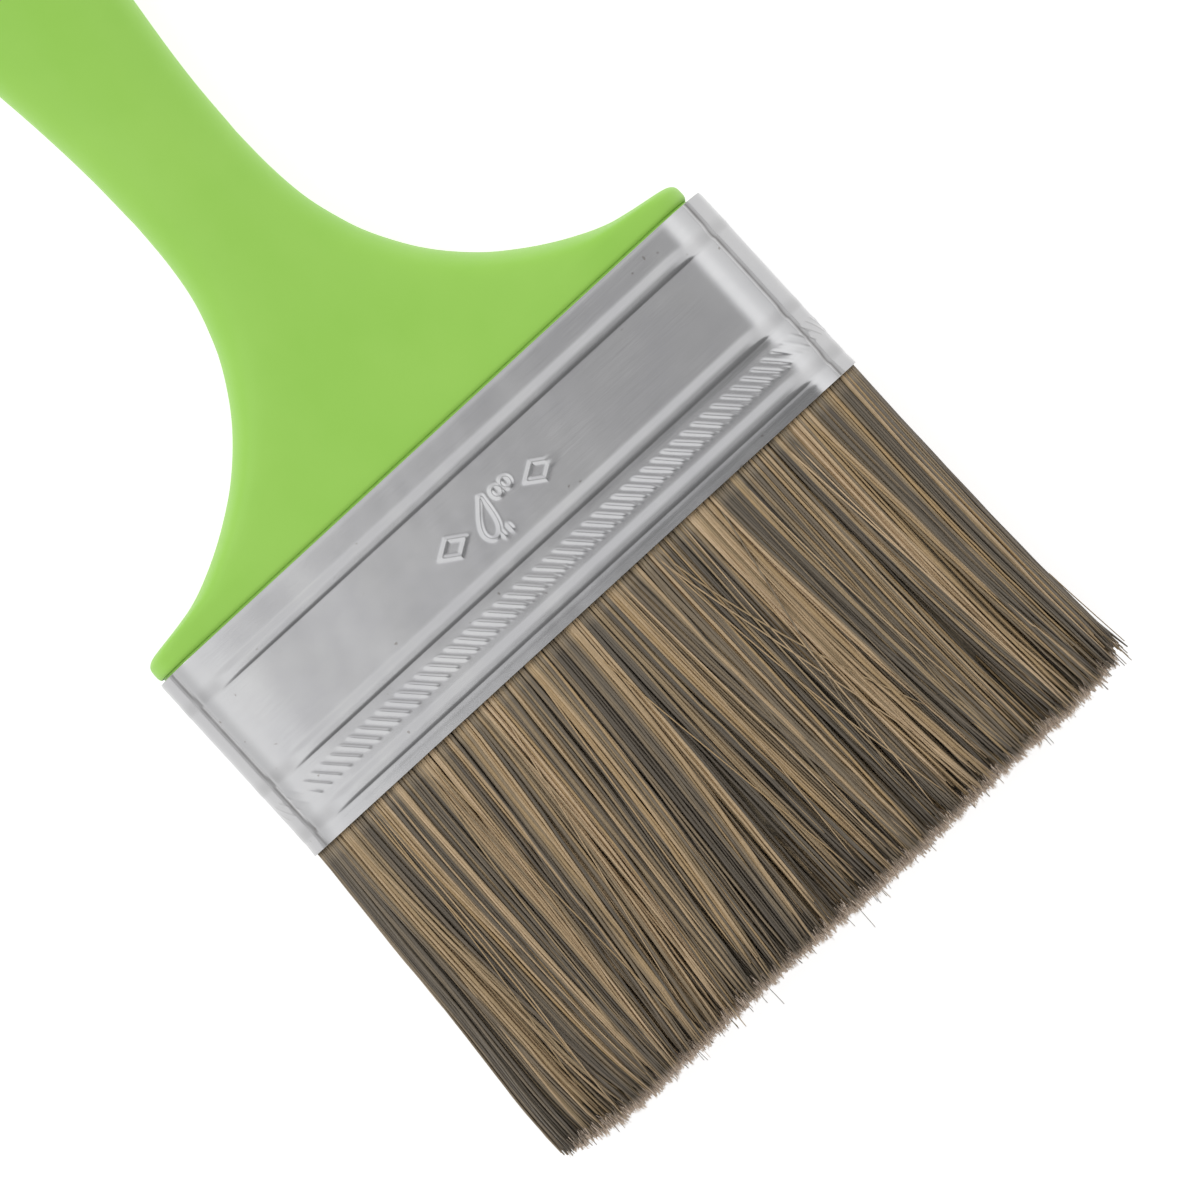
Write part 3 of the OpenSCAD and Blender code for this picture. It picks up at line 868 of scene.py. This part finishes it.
# How far the top locks wander sideways by their tips: [place at the mouth, travel]
WANDER = [[-51, -0.1], [-49, 0.4], [-46.5, 2.6], [-44, 5.2], [-41, 3.6], [-36, 2.4], [-31, -0.6], [-26, -2.8], [-22, -4.2],
          [-18, -4.8], [-14, -3.8], [-10, -4.6], [-5, -3.0], [-2, -3.4], [0.5, 0.2], [4.5, 3.4], [7.5, 3.4], [12.5, 0.6],
          [16, 1.3], [20, 2.6], [28, 2.8], [33, 0.2], [36, 3.4], [40, 0.8], [44.5, 1.8], [47.5, 0.4], [51, 0.0]]
# The locks that stand out at the mouth: [middle, half width, how dark (+) or light (-)]
LOCKS = [[-51.2, 0.8, -2.2], [-49.3, 1.0, 1.4], [-44.6, 1.3, -1.5], [-42.0, 0.9, 1.2], [-37.1, 0.6, 1.2], [-35.4, 0.8, -1.0],
         [-30.0, 0.9, -1.3], [-24.6, 0.6, 1.2], [-22.0, 0.5, -1.1], [-19.3, 1.1, -1.5], [-12.8, 1.0, 0.9], [-10.3, 0.9, -1.1],
         [-1.8, 0.8, -1.3], [0.3, 0.8, 1.1], [4.5, 0.4, -1.2], [8.8, 0.8, 1.2], [12.2, 0.6, -1.1], [16.6, 1.5, 1.1],
         [21.0, 1.2, -1.5], [26.2, 0.9, 1.3], [33.4, 0.9, -1.3], [37.4, 0.6, 1.2], [41.9, 0.6, -1.1], [45.4, 0.9, -1.3],
         [49.8, 0.7, 1.3]]


def spread(x0, d):
    """Where a filament that leaves the mouth at x0 is at distance d, before its own lean."""
    l = table(LEFT, d) * (-1)
    r = table(RIGHT, d)
    g = x0 / HALF_W
    return x0 + np.where(g < 0, l * -g, r * g)


def tip_line(x):
    """Where the trimmed tips stand, as a distance from the mouth."""
    return FL - 0.2 - 1.5 * np.clip((-x - 40) / 14, 0, 1) ** 1.3 - 1.6 * np.clip((x - 38) / 14, 0, 1) ** 1.4 + 0.25 * np.sin(x * 0.13 + 0.6) - 2.4 * np.clip((x - 49.2) / 2.6, 0, 1)


def tubes(name, path, rad, sides, shade, vv, mat, closed_tip=0.55):
    """path (n,m,3) mm, rad (n,m), shade (n,) column number, vv (n,m) share of the full length."""
    n, m, _ = path.shape
    g = np.arange(sides) * 2 * math.pi / sides
    rng = np.random.RandomState(int(n * 7 + m))
    ph = rng.uniform(0, 2 * math.pi, n)
    ang = g[None, :] + ph[:, None]
    cs, sn = np.cos(ang), np.sin(ang)
    ring = np.zeros((n, m, sides, 3))
    ring[..., 0] = path[:, :, None, 0] + rad[:, :, None] * cs[:, None, :]
    ring[..., 1] = path[:, :, None, 1]
    ring[..., 2] = path[:, :, None, 2] + rad[:, :, None] * sn[:, None, :]
    V = ring.reshape(-1, 3)
    base = (np.arange(n)[:, None, None] * m + np.arange(m - 1)[None, :, None]) * sides
    j = np.arange(sides)[None, None, :]
    j2 = (j + 1) % sides
    quads = np.stack([base + j, base + j2, base + sides + j2, base + sides + j], -1).reshape(-1, 4)
    c0 = (np.arange(n)[:, None] * m) * sides + np.arange(sides)[None, ::-1]
    c1 = (np.arange(n)[:, None] * m + m - 1) * sides + np.arange(sides)[None, :]
    # texture: one column of the strand texture per strand
    tri = 1 - np.abs(2 * (np.arange(sides + 1) / sides) - 1)
    u0 = (shade + 0.14)[:, None] / COLS
    uu = u0 + tri[None, :] * 0.72 / COLS                        # (n, sides+1)
    ua, ub = uu[:, :-1], uu[:, 1:]
    q = np.zeros((n, m - 1, sides, 4, 2))
    q[..., 0, 0] = ua[:, None, :]
    q[..., 1, 0] = ub[:, None, :]
    q[..., 2, 0] = ub[:, None, :]
    q[..., 3, 0] = ua[:, None, :]
    q[..., 0, 1] = q[..., 1, 1] = vv[:, :-1, None]
    q[..., 2, 1] = q[..., 3, 1] = vv[:, 1:, None]
    ring_u = uu[:, :-1]
    uc0 = np.stack([ring_u[:, ::-1], np.repeat(vv[:, :1], sides, 1)], -1)
    uc1 = np.stack([ring_u, np.repeat(vv[:, -1:], sides, 1)], -1)
    # a cap needs some area in the texture
    tilt_v = (np.arange(sides) % 2) * 0.004
    uc0[..., 1] = np.clip(uc0[..., 1] + tilt_v, 0.001, 0.999)
    uc1[..., 1] = np.clip(uc1[..., 1] - tilt_v, 0.001, 0.999)
    uvs = np.vstack([q.reshape(-1, 2), uc0.reshape(-1, 2), uc1.reshape(-1, 2)])
    uvs[:, 1] = np.clip(uvs[:, 1], 0.001, 0.999)
    ob = make_mesh(name, V, [quads[:, ::-1], c0[:, ::-1], c1[:, ::-1]],
                   uvs=np.vstack([flip_quads(q.reshape(-1, 4, 2)), flip_poly(uc0), flip_poly(uc1)]), uv_name="OFBake")
    ob.data.materials.append(mat)
    return ob


def flip_quads(q):
    return q[:, ::-1].reshape(-1, 2)


def flip_poly(p):
    return p[:, ::-1].reshape(-1, 2)


def clump_cells(rng, lo, hi, wmin, wmax):
    edges = [lo]
    while edges[-1] < hi:
        edges.append(edges[-1] + rng.uniform(wmin, wmax))
    return np.array(edges)


def colour_field(rng, lo, hi, locks=0.0):
    """Patches of lighter and darker filament across the width."""
    xs = np.arange(lo - 3, hi + 3, 0.1)
    out = np.zeros_like(xs)
    for scale, amp in ((0.42, 1.0), (0.95, 1.0), (3.2, 0.4)):
        out += amp * np.interp(xs, np.arange(lo - 4, hi + 5, scale), rng.normal(0, 1, len(np.arange(lo - 4, hi + 5, scale))))
    out /= out.std()
    if locks:
        for c, w, v in LOCKS:
            m = np.exp(-np.abs((xs - c) / w) ** 3) * locks
            out = out * (1 - m) + v * m
    return lambda x: np.interp(x, xs, out)


def pick_shade(rng, field, n, dark_bias=0.0, spread_=0.55):
    """A column number: patches decide most of it, the filament itself the rest."""
    v = field * (1 - spread_) + rng.normal(0, 1, n) * spread_
    v = v / math.sqrt((1 - spread_) ** 2 + spread_**2) + dark_bias
    g = 0.5 * (1 + np.vectorize(math.erf)(v / math.sqrt(2)))       # 0..1, 0 light, 1 dark
    return np.clip(np.floor(g * COLS), 0, COLS - 1)


def strand_set(name, seed, side, layers, per_mm, r_lo, r_hi, sides, segs, start_d=-1.3, dark=0.0, wander=1.0, own=0.42):
    """Filaments of one face of the tuft. side +1 front, -1 back; the narrow ends are shared out between them."""
    rng = np.random.RandomState(seed)
    field = colour_field(np.random.RandomState(101 if side > 0 else 202), -56, 56, 0.92 if side > 0 else 0.0)
    cells = clump_cells(np.random.RandomState(seed + 11), -60, 60, 0.9, 3.2)
    nc = len(cells) + 1
    crng = np.random.RandomState(seed + 12)
    lean = crng.normal(0, 0.55, nc)
    pull = crng.uniform(0.05, 0.75, nc)
    lift = crng.uniform(-0.1, 0.75, nc)
    RX, RZ = HALF_W - FF, 6.75
    half = FF
    arc = math.pi / 2 * 6.9
    length = 2 * half + 2 * arc            # quarter arc at each end belongs to this face
    pathes = []
    for depth in layers:
        n = int(length * per_mm)
        u = (np.arange(n) + rng.uniform(0, 1, n)) / n * length
        a = np.clip(u - arc, 0, 2 * half)
        gl = np.clip((arc - u) / 6.9, 0, None)                # angle past the left flat's end
        gr = np.clip((u - arc - 2 * half) / 6.9, 0, None)
        x0 = -half + a - (RX - depth) * np.sin(gl) + (RX - depth) * np.sin(gr)
        z0 = (RZ - depth) * np.cos(gl + gr) * side
        pathes.append(np.stack([x0, z0, np.full(n, depth)], -1))
    P = np.vstack(pathes)
    n = len(P)
    x0, z0, depth = P.T
    x0 = x0 + rng.normal(0, 0.04, n)
    z0 = z0 + rng.normal(0, 0.05, n)
    cell = np.searchsorted(cells, x0 + rng.normal(0, 0.15, n))
    centre = (cells[np.clip(cell - 1, 0, len(cells) - 1)] + cells[np.clip(cell, 0, len(cells) - 1)]) / 2
    tip = tip_line(spread(x0, np.full(n, 50.0)))
    # deeper layers take darker columns: painted shade of the inside of the pack
    shade = pick_shade(rng, field(x0), n, dark + 0.30 * depth, 0.38)
    light = shade < COLS * 0.5
    short = np.where(light, np.abs(rng.normal(0, 3.4, n)), np.abs(rng.normal(0, 1.2, n)))
    short = np.where(rng.uniform(0, 1, n) < 0.25, rng.uniform(0, 1.0, n), short)
    L = tip - np.clip(short, 0, 12) + rng.normal(0, 0.35, n)
    t = np.linspace(0, 1, segs) ** 0.92
    d = start_d + (L - start_d)[:, None] * t[None, :]
    f = np.clip(d / FL, 0, 1.1)
    X = spread(np.repeat(x0[:, None], segs, 1), d)
    o = rng.normal(0, own, n)
    strong = rng.uniform(0, 1, n) < 0.08
    o = np.where(strong, rng.normal(0, 1.6, n), o)
    edge = np.clip((HALF_W - np.abs(x0)) / 5, 0.06, 1)
    # a lock follows the general wander of its place, each lock in its own way
    bend = crng.uniform(1.1, 1.9, nc)
    way = table(WANDER, centre) * (wander if side > 0 else 0.0) + (crng.normal(0, 1.6, nc)[cell] if side < 0 else 0.0)
    X = X + (way * np.clip(edge * 1.6, 0, 1) + lean[cell] * edge)[:, None] * f ** bend[cell][:, None] + (o * edge)[:, None] * f**1.25
    X = X - ((x0 - centre) * pull[cell] * edge)[:, None] * f**2.2
    wl = rng.uniform(24, 60, n)
    X = X + (rng.uniform(0.02, 0.14, n))[:, None] * np.sin(2 * math.pi * d / wl[:, None] + rng.uniform(0, 6.28, n)[:, None]) * np.clip(d / 12, 0, 1)
    X = X + (rng.uniform(0.0, 0.05, n))[:, None] * np.sin(2 * math.pi * d / 9.0 + rng.uniform(0, 6.28, n)[:, None]) * np.clip(d / 20, 0, 1)
    swell_ = table(BELLY, d) / 6.85
    ztop = z0[:, None] * swell_
    hump = np.sin(math.pi * np.clip(f * 1.02, 0, 1)) ** 0.8
    Zl = (lift[cell][:, None] * 0.55 * hump + rng.normal(0, 0.16, n)[:, None] * f) * np.sign(side) - 0.25 * side * f**3
    Zl = Zl * smooth(2.0, 5.0, np.abs(z0))[:, None]
    Z = ztop + Zl
    r = rng.uniform(r_lo, r_hi, n)
    r = np.where(rng.uniform(0, 1, n) < 0.12, r * 1.25, r)
    taper = 1 - 0.25 * np.clip(f, 0, 1) ** 2
    rad = r[:, None] * taper
    rad[:, -1] *= 0.5
    path = np.stack([X, Y_MOUTH - d, Z_MID + Z], -1)
    vv = np.clip((d + 1.3) / (FL + 1.6), 0, 0.999)
    # a short filament keeps its own tip colour and painted tip shade
    own_v = (d - start_d) / (L - start_d)[:, None]
    vv = np.where(own_v > 0.9, np.maximum(vv, 0.86 + (own_v - 0.9) * 1.1 * rng.uniform(0.4, 1.0, n)[:, None]), vv)
    vv = np.clip(vv, 0, 0.995)
    return tubes(name, path, rad, sides, shade, vv, M_FIL)


def finish_strands(ob, node):
    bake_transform(ob)
    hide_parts(node)
    return ob


objs = []
# the under layers take darker columns (dark, and the depth in strand_set): painted shade of the inside of the pack
objs.append(finish_strands(strand_set("front_filaments_outer", 21, 1, (0.10, 0.40), 2.7, 0.16, 0.27, 5, 18), "front_filaments"))
objs.append(finish_strands(strand_set("front_filaments_under", 22, 1, (0.70, 1.05, 1.45), 2.3, 0.16, 0.27, 4, 14, dark=0.12, wander=0.35), "front_filaments"))
objs.append(finish_strands(strand_set("back_filaments_outer", 31, -1, (0.10, 0.40), 2.7, 0.16, 0.27, 5, 18), "back_filaments"))
objs.append(finish_strands(strand_set("back_filaments_under", 32, -1, (0.70, 1.05, 1.45), 2.3, 0.16, 0.27, 4, 14, dark=0.30), "back_filaments"))


def inner_tips(name, seed, side):
    """The filaments of the inside of the pack: only their last stretch can be seen, from the tips."""
    rng = np.random.RandomState(seed)
    n = 3600
    x0 = rng.uniform(-1, 1, n) * (HALF_W - 1.2)
    zc = rng.uniform(0.0, 1, n) * 5.0
    keep = (np.clip(np.abs(x0) - FF, 0, None) ** 2 + zc**2) < 5.0**2
    x0, zc = x0[keep], zc[keep]
    n = len(x0)
    field = colour_field(np.random.RandomState(300 + side), -56, 56)
    cells = clump_cells(np.random.RandomState(seed + 1), -60, 60, 1.4, 3.6)
    lean = np.random.RandomState(seed + 2).normal(0, 0.8, len(cells) + 1)
    cell = np.searchsorted(cells, x0)
    # inner filaments take darker columns: painted shade of the inside of the pack
    shade = pick_shade(rng, field(x0), n, 0.22, 0.7)
    tip = tip_line(spread(x0, np.full(n, 50.0)))
    L = tip - np.abs(rng.normal(0, 0.8, n)) + rng.normal(0, 0.25, n)
    segs = 5
    d0 = L - rng.uniform(13, 17, n)
    d = d0[:, None] + (L - d0)[:, None] * np.linspace(0, 1, segs)[None, :]
    f = np.clip(d / FL, 0, 1.1)
    X = spread(np.repeat(x0[:, None], segs, 1), d) + lean[cell][:, None] * f**1.5 + rng.normal(0, 0.5, n)[:, None] * f**2
    Z = (zc * side)[:, None] * table(BELLY, d) / 6.85 + rng.normal(0, 0.2, n)[:, None] * f
    rad = np.repeat(rng.uniform(0.12, 0.21, n)[:, None], segs, 1)
    rad[:, -1] *= 0.5
    path = np.stack([X, Y_MOUTH - d, Z_MID + Z], -1)
    vv = np.clip((d + 1.3) / (FL + 1.6), 0, 0.99)
    own_v = (d - d0[:, None]) / (L - d0)[:, None]
    vv = np.where(own_v > 0.9, np.maximum(vv, 0.965), vv)
    ob = tubes(name, path, rad, 4, shade, vv, M_FIL)
    return ob


objs.append(finish_strands(inner_tips("front_filaments_inner_tips", 41, 1), "front_filaments"))
objs.append(finish_strands(inner_tips("back_filaments_inner_tips", 42, -1), "back_filaments"))


def split_ends(name, seed, side):
    """Fine split ends at the very tips."""
    rng = np.random.RandomState(seed)
    n = 7000
    x0 = rng.uniform(-1, 1, n) * (HALF_W - 0.2)
    zc = np.sqrt(rng.uniform(0, 1, n)) * 6.6
    keep = (np.clip(np.abs(x0) - FF, 0, None) ** 2 + zc**2) < 6.7**2
    x0, zc = x0[keep], zc[keep]
    n = len(x0)
    tip = tip_line(spread(x0, np.full(n, 50.0)))
    tip = tip + 0.25 * np.sin(x0 * 2.1) + 0.2 * np.sin(x0 * 5.3 + 1)
    d0 = tip - rng.uniform(0.3, 1.9, n) - np.abs(rng.normal(0, 0.45, n))
    ln = rng.uniform(0.6, 1.7, n)
    ln = np.where(rng.uniform(0, 1, n) < 0.04, ln + rng.uniform(0.3, 1.5, n), ln)
    ln = np.minimum(ln, tip + 0.35 - d0 + np.where(rng.uniform(0, 1, n) < 0.02, 1.2, 0))
    segs = 3
    s = np.linspace(0, 1, segs)
    d = d0[:, None] + ln[:, None] * s[None, :]
    ax, az = rng.normal(0, 0.2, n), rng.normal(0, 0.16, n)
    X = spread(np.repeat(x0[:, None], segs, 1), np.repeat(d0[:, None], segs, 1)) + (ax * ln)[:, None] * s[None, :] ** 1.3
    Z = (zc * side)[:, None] * 0.90 + (az * ln)[:, None] * s[None, :] ** 1.3
    rad = np.repeat(rng.uniform(0.035, 0.07, n)[:, None], segs, 1) * (1 - 0.5 * s[None, :])
    path = np.stack([X, Y_MOUTH - d, Z_MID + Z], -1)
    shade = np.floor(rng.uniform(0, 1, n) * COLS)
    vv = np.clip(np.repeat(s[None, :], n, 0), 0.01, 0.99)
    return tubes(name, path, rad, 3, shade, vv, M_FUZZ)


objs.append(finish_strands(split_ends("front_split_ends", 51, 1), "front_filaments"))
objs.append(finish_strands(split_ends("back_split_ends", 52, -1), "back_filaments"))


def strays():
    """Single filaments that cross over the others, and a few that stand past the trimmed line."""
    rng = np.random.RandomState(61)
    # x at mouth, x at tip, length, bow, shade
    rows = [(12.6, 22.6, 43.0, 0.6, 9), (13.0, 20.2, 52.5, -0.5, 11), (13.6, 26.3, 41.0, -0.8, 20), (-19.4, -20.8, 57.4, 0.9, 4),
            (-17.2, -25.5, 50.0, -0.5, 6), (-3.0, 4.0, 51.0, 0.4, 14), (6.6, 9.0, 52.0, 0.5, 2), (28.5, 32.5, 50.0, -0.5, 7),
            (36.0, 40.0, 51.5, 1.0, 3), (-39.8, -40.6, 56.0, 0.8, 8), (-36.8, -34.6, 53.0, -0.7, 10),
            (-10.5, -15.2, 49.0, -0.4, 12), (20.3, 17.5, 52.0, 0.7, 6), (41.0, 43.6, 50.0, 0.6, 16), (-28.0, -31.5, 48.0, 0.8, 12)]
    for _ in range(16):
        x = rng.uniform(-41, 41)
        rows.append((x, x + rng.normal(0, 3.0), rng.uniform(44, 57.5), rng.normal(0, 0.6), int(rng.uniform(0, 40))))
    segs = 20
    t = np.linspace(0, 1, segs)
    path, rad, shade, vv = [], [], [], []
    for x0, x1, L, bow, sh in rows:
        d = -1.3 + (L + 1.3) * t
        f = np.clip(d / L, 0, 1)
        X = spread(np.full(segs, x0), d) + (x1 - x0) * f**1.2 + bow * np.sin(math.pi * f) * 0.8
        Z = 6.72 * table(BELLY, d) / 6.85 + 0.62 * np.sin(math.pi * np.clip(f, 0, 1)) ** 0.8 * smooth(0, 6, d)
        path.append(np.stack([X, Y_MOUTH - d, Z_MID + Z], -1))
        r = rng.uniform(0.11, 0.16) * (1 - 0.3 * f)
        r[-1] *= 0.5
        rad.append(r)
        shade.append(sh)
        vv.append(np.clip((d + 1.3) / (FL + 1.6), 0, 0.97))
    return tubes("front_stray_filaments", np.array(path), np.array(rad), 5, np.array(shade, float), np.array(vv), M_FIL)


objs.append(finish_strands(strays(), "front_filaments"))


def overlong():
    """A few long hairs past the tips, on both faces."""
    rng = np.random.RandomState(71)
    n = 62
    x0 = rng.uniform(-1, 1, n) * (HALF_W - 1)
    zc = rng.uniform(-1, 1, n) * 5.5
    tip = tip_line(spread(x0, np.full(n, 50.0)))
    L = tip + rng.uniform(0.5, 1.7, n)
    n_set = 7
    x0[n_set:n_set + 13] = rng.uniform(48.6, 50.2, 13)
    zc[n_set:n_set + 13] = rng.uniform(-1, 3.5, 13)
    L[n_set:n_set + 13] = rng.uniform(53.0, 56.0, 13)
    for i, (xs, over) in enumerate(((-16.0, 3.4), (0.9, 3.6), (3.4, 1.9), (-2.6, 1.7), (-29.5, 1.8), (12.5, 1.4), (35.0, 1.6))):
        x0[i], zc[i], L[i] = xs, 3.0, tip_line(xs) + over
    segs = 6
    d0 = L - 14
    d = d0[:, None] + 14 * np.linspace(0, 1, segs)[None, :]
    f = np.clip(d / FL, 0, 1.1)
    X = spread(np.repeat(x0[:, None], segs, 1), d) + rng.normal(0, 0.9, n)[:, None] * f**2
    Z = zc[:, None] * table(BELLY, np.minimum(d, 56)) / 6.85
    rad = np.repeat(rng.uniform(0.06, 0.11, n)[:, None], segs, 1) * (1 - 0.3 * np.linspace(0, 1, segs)[None, :])
    path = np.stack([X, Y_MOUTH - d, Z_MID + Z], -1)
    vv = np.clip(0.8 + 0.16 * np.repeat(np.linspace(0, 1, segs)[None, :], n, 0), 0, 0.96)
    return tubes("overlong_filaments", path, rad, 4, np.floor(rng.uniform(0.2, 1, n) * (COLS - 1)), vv, M_FIL)


objs.append(finish_strands(overlong(), "back_filaments"))


def core(name, side):
    """Solid inside of the half pack, which stops light and sight between the filaments."""
    ds = np.concatenate([np.linspace(-1.2, 6, 6), np.linspace(9, 48.5, 16)])
    n = 40
    ang = np.linspace(math.pi, 0, n) if side > 0 else np.linspace(2 * math.pi, math.pi, n)
    c, s_ = np.cos(ang), np.sin(ang)
    rows = []
    for d in ds:
        b = float(table(BELLY, d)) - 1.55 - 3.2 * float(smooth(38, 48.5, d))
        a = HALF_W - 1.5
        p = 8
        x = np.sign(c) * ((a - b) * (1 - (1 - np.abs(c)) ** p) + b * np.abs(c))
        x = spread(x, np.full(n, d))
        z = b * s_ + 0.10 * wobble(x, np.full(n, d), 9, 3.0)
        z = np.where(np.abs(s_) < 1e-6, 0.02 * side, z)
        rows.append(np.stack([x, np.full(n, Y_MOUTH - d), Z_MID + z], -1))
    V = np.vstack(rows)
    m = len(ds)
    i = np.arange(m - 1)[:, None] * n
    j = np.arange(n)[None, :]
    j2 = (j + 1) % n
    quads = np.stack([i + j, i + j2, i + n + j2, i + n + j], -1).reshape(-1, 4)
    ob = make_mesh(name, V, [quads, np.arange(n)[None, ::-1], ((m - 1) * n + np.arange(n))[None, :]])
    bm_fix_normals(ob)
    mark_sharp(ob, 50)
    ob.data.materials.append(M_PACK)
    return ob


objs.append(finish_strands(core("front_filament_pack_core", 1), "front_filaments"))
objs.append(finish_strands(core("back_filament_pack_core", -1), "back_filaments"))
print("strand faces", sum(len(o.data.polygons) for o in objs), [(o.name, sum(len(p.vertices) - 2 for p in o.data.polygons)) for o in objs])

# ---------------------------------------------------------------- CAD nodes that stay
for node, mat in (("resin_set", amber_resin()), ("spacer_plug", plug_wood()),
                  ("front_filament_roots", soaked_roots()), ("back_filament_roots", soaked_roots())):
    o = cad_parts[node]
    if not o.material_slots:
        o.data.materials.append(mat)
    for sl in o.material_slots:
        sl.material = mat

# ---------------------------------------------------------------- floor and light
floor_me = bpy.data.meshes.new("floor")
S = 4.0
floor_me.from_pydata([(-S, -S, -0.0002), (S, -S, -0.0002), (S, S, -0.0002), (-S, S, -0.0002)], [], [(0, 1, 2, 3)])
floor = bpy.data.objects.new("floor", floor_me)
bpy.context.scene.collection.objects.link(floor)
fm = Mat("floor_white")
fm.val("Base Color", (0.5, 0.5, 0.5, 1))
fm.val("Roughness", 0.9)
fm.val("Specular IOR Level", 0.1)
fm.val("Emission Color", (1, 1, 1, 1))
fm.val("Emission Strength", 0.74)
floor_me.materials.append(fm.m)


def studio():
    """Soft studio light: bright all round, a darker gap overhead and a dark card on the tips' side."""
    w = bpy.data.worlds.new("studio")
    bpy.context.scene.world = w
    w.use_nodes = True
    t = w.node_tree
    t.nodes.clear()

    class K(Mat):
        def __init__(self):
            self.t = t
    k = K()
    tc = k.n("ShaderNodeTexCoord")
    sep = k.n("ShaderNodeSeparateXYZ")
    k.link(tc.outputs["Generated"], sep.inputs[0])
    x, y, z = sep.outputs
    al = k.math("MULTIPLY", k.math("ARCTAN2", x, z), 57.29578)      # towards +X, degrees from overhead
    be = k.math("MULTIPLY", k.math("ARCTAN2", y, z), 57.29578)      # towards the handle
    el = k.math("MULTIPLY", k.math("ARCSINE", z), 57.29578)
    azt = k.math("MULTIPLY", k.math("ARCTAN2", x, k.math("MULTIPLY", y, -1.0)), 57.29578)   # round from the tips' side
    # handle side of overhead
    base = k.map(be, 1.5, 22.0, 0.385, 0.84, "SMOOTHSTEP")
    left = k.map(al, -3.9, -9.1, 0.0, 1.0)
    rightm = k.map(al, 0.0, 16.0, 0.0, 1.0, "SMOOTHSTEP")
    sides = k.math("MAXIMUM", left, rightm)
    side_level = k.map(el, 12.0, 60.0, 0.82, 1.12, "SMOOTHSTEP")
    side_level = k.math("MULTIPLY", side_level, k.map(al, -13.0, -8.0, 0.90, 1.0, "SMOOTHSTEP"))

    out = k.n("ShaderNodeOutputWorld")
    bg = k.n("ShaderNodeBackground")

    def lerp(m, a, b):
        return k.math("ADD", k.math("MULTIPLY", a, k.math("SUBTRACT", 1.0, m)), k.math("MULTIPLY", b, m))
    lev = lerp(sides, base, side_level)
    # a paler panel behind the handle, which hides the side lights from there
    azh = k.math("MULTIPLY", k.math("ARCTAN2", k.math("ABSOLUTE", x), y), 57.29578)
    m = k.math("MULTIPLY", k.map(be, 9.0, 22.0, 0.0, 1.0, "SMOOTHSTEP"), k.map(azh, 30.0, 50.0, 1.0, 0.0, "SMOOTHSTEP"))
    lev = lerp(m, lev, k.math("ADD", 0.82, 0.0))
    # a dark card beyond the tips
    m = k.math("MULTIPLY", k.map(be, -3.0, -9.5, 0.0, 1.0, "SMOOTHSTEP"),
               k.math("MULTIPLY", k.map(azt, -25.0, -12.0, 0.0, 1.0, "SMOOTHSTEP"), k.map(azt, 28.0, 46.0, 1.0, 0.0, "SMOOTHSTEP")))
    lev = lerp(m, lev, k.math("ADD", 0.235, 0.0))
    # pale towards the horizon
    low = k.map(el, 22.0, 9.0, 0.0, 1.0, "SMOOTHSTEP")
    lev = lerp(low, lev, k.math("ADD", 0.86, 0.0))
    k.link(lev, bg.inputs["Strength"])
    bg.inputs["Color"].default_value = (1, 1, 1, 1)
    k.link(bg.outputs[0], out.inputs["Surface"])


studio()


def area(name, loc, size, power, spread=180):
    d = bpy.data.lights.new(name, "AREA")
    d.shape = "SQUARE"
    d.size = size
    d.energy = power
    o = bpy.data.objects.new(name, d)
    bpy.context.scene.collection.objects.link(o)
    o.location = loc
    o.rotation_mode = "QUATERNION"
    o.rotation_quaternion = (-Vector(loc)).normalized().to_track_quat("-Z", "Y")
    return o


area("softbox_key", (-0.75, 0.85, 1.0), 0.7, 3.2)

bpy.context.scene.view_settings.view_transform = "Standard"
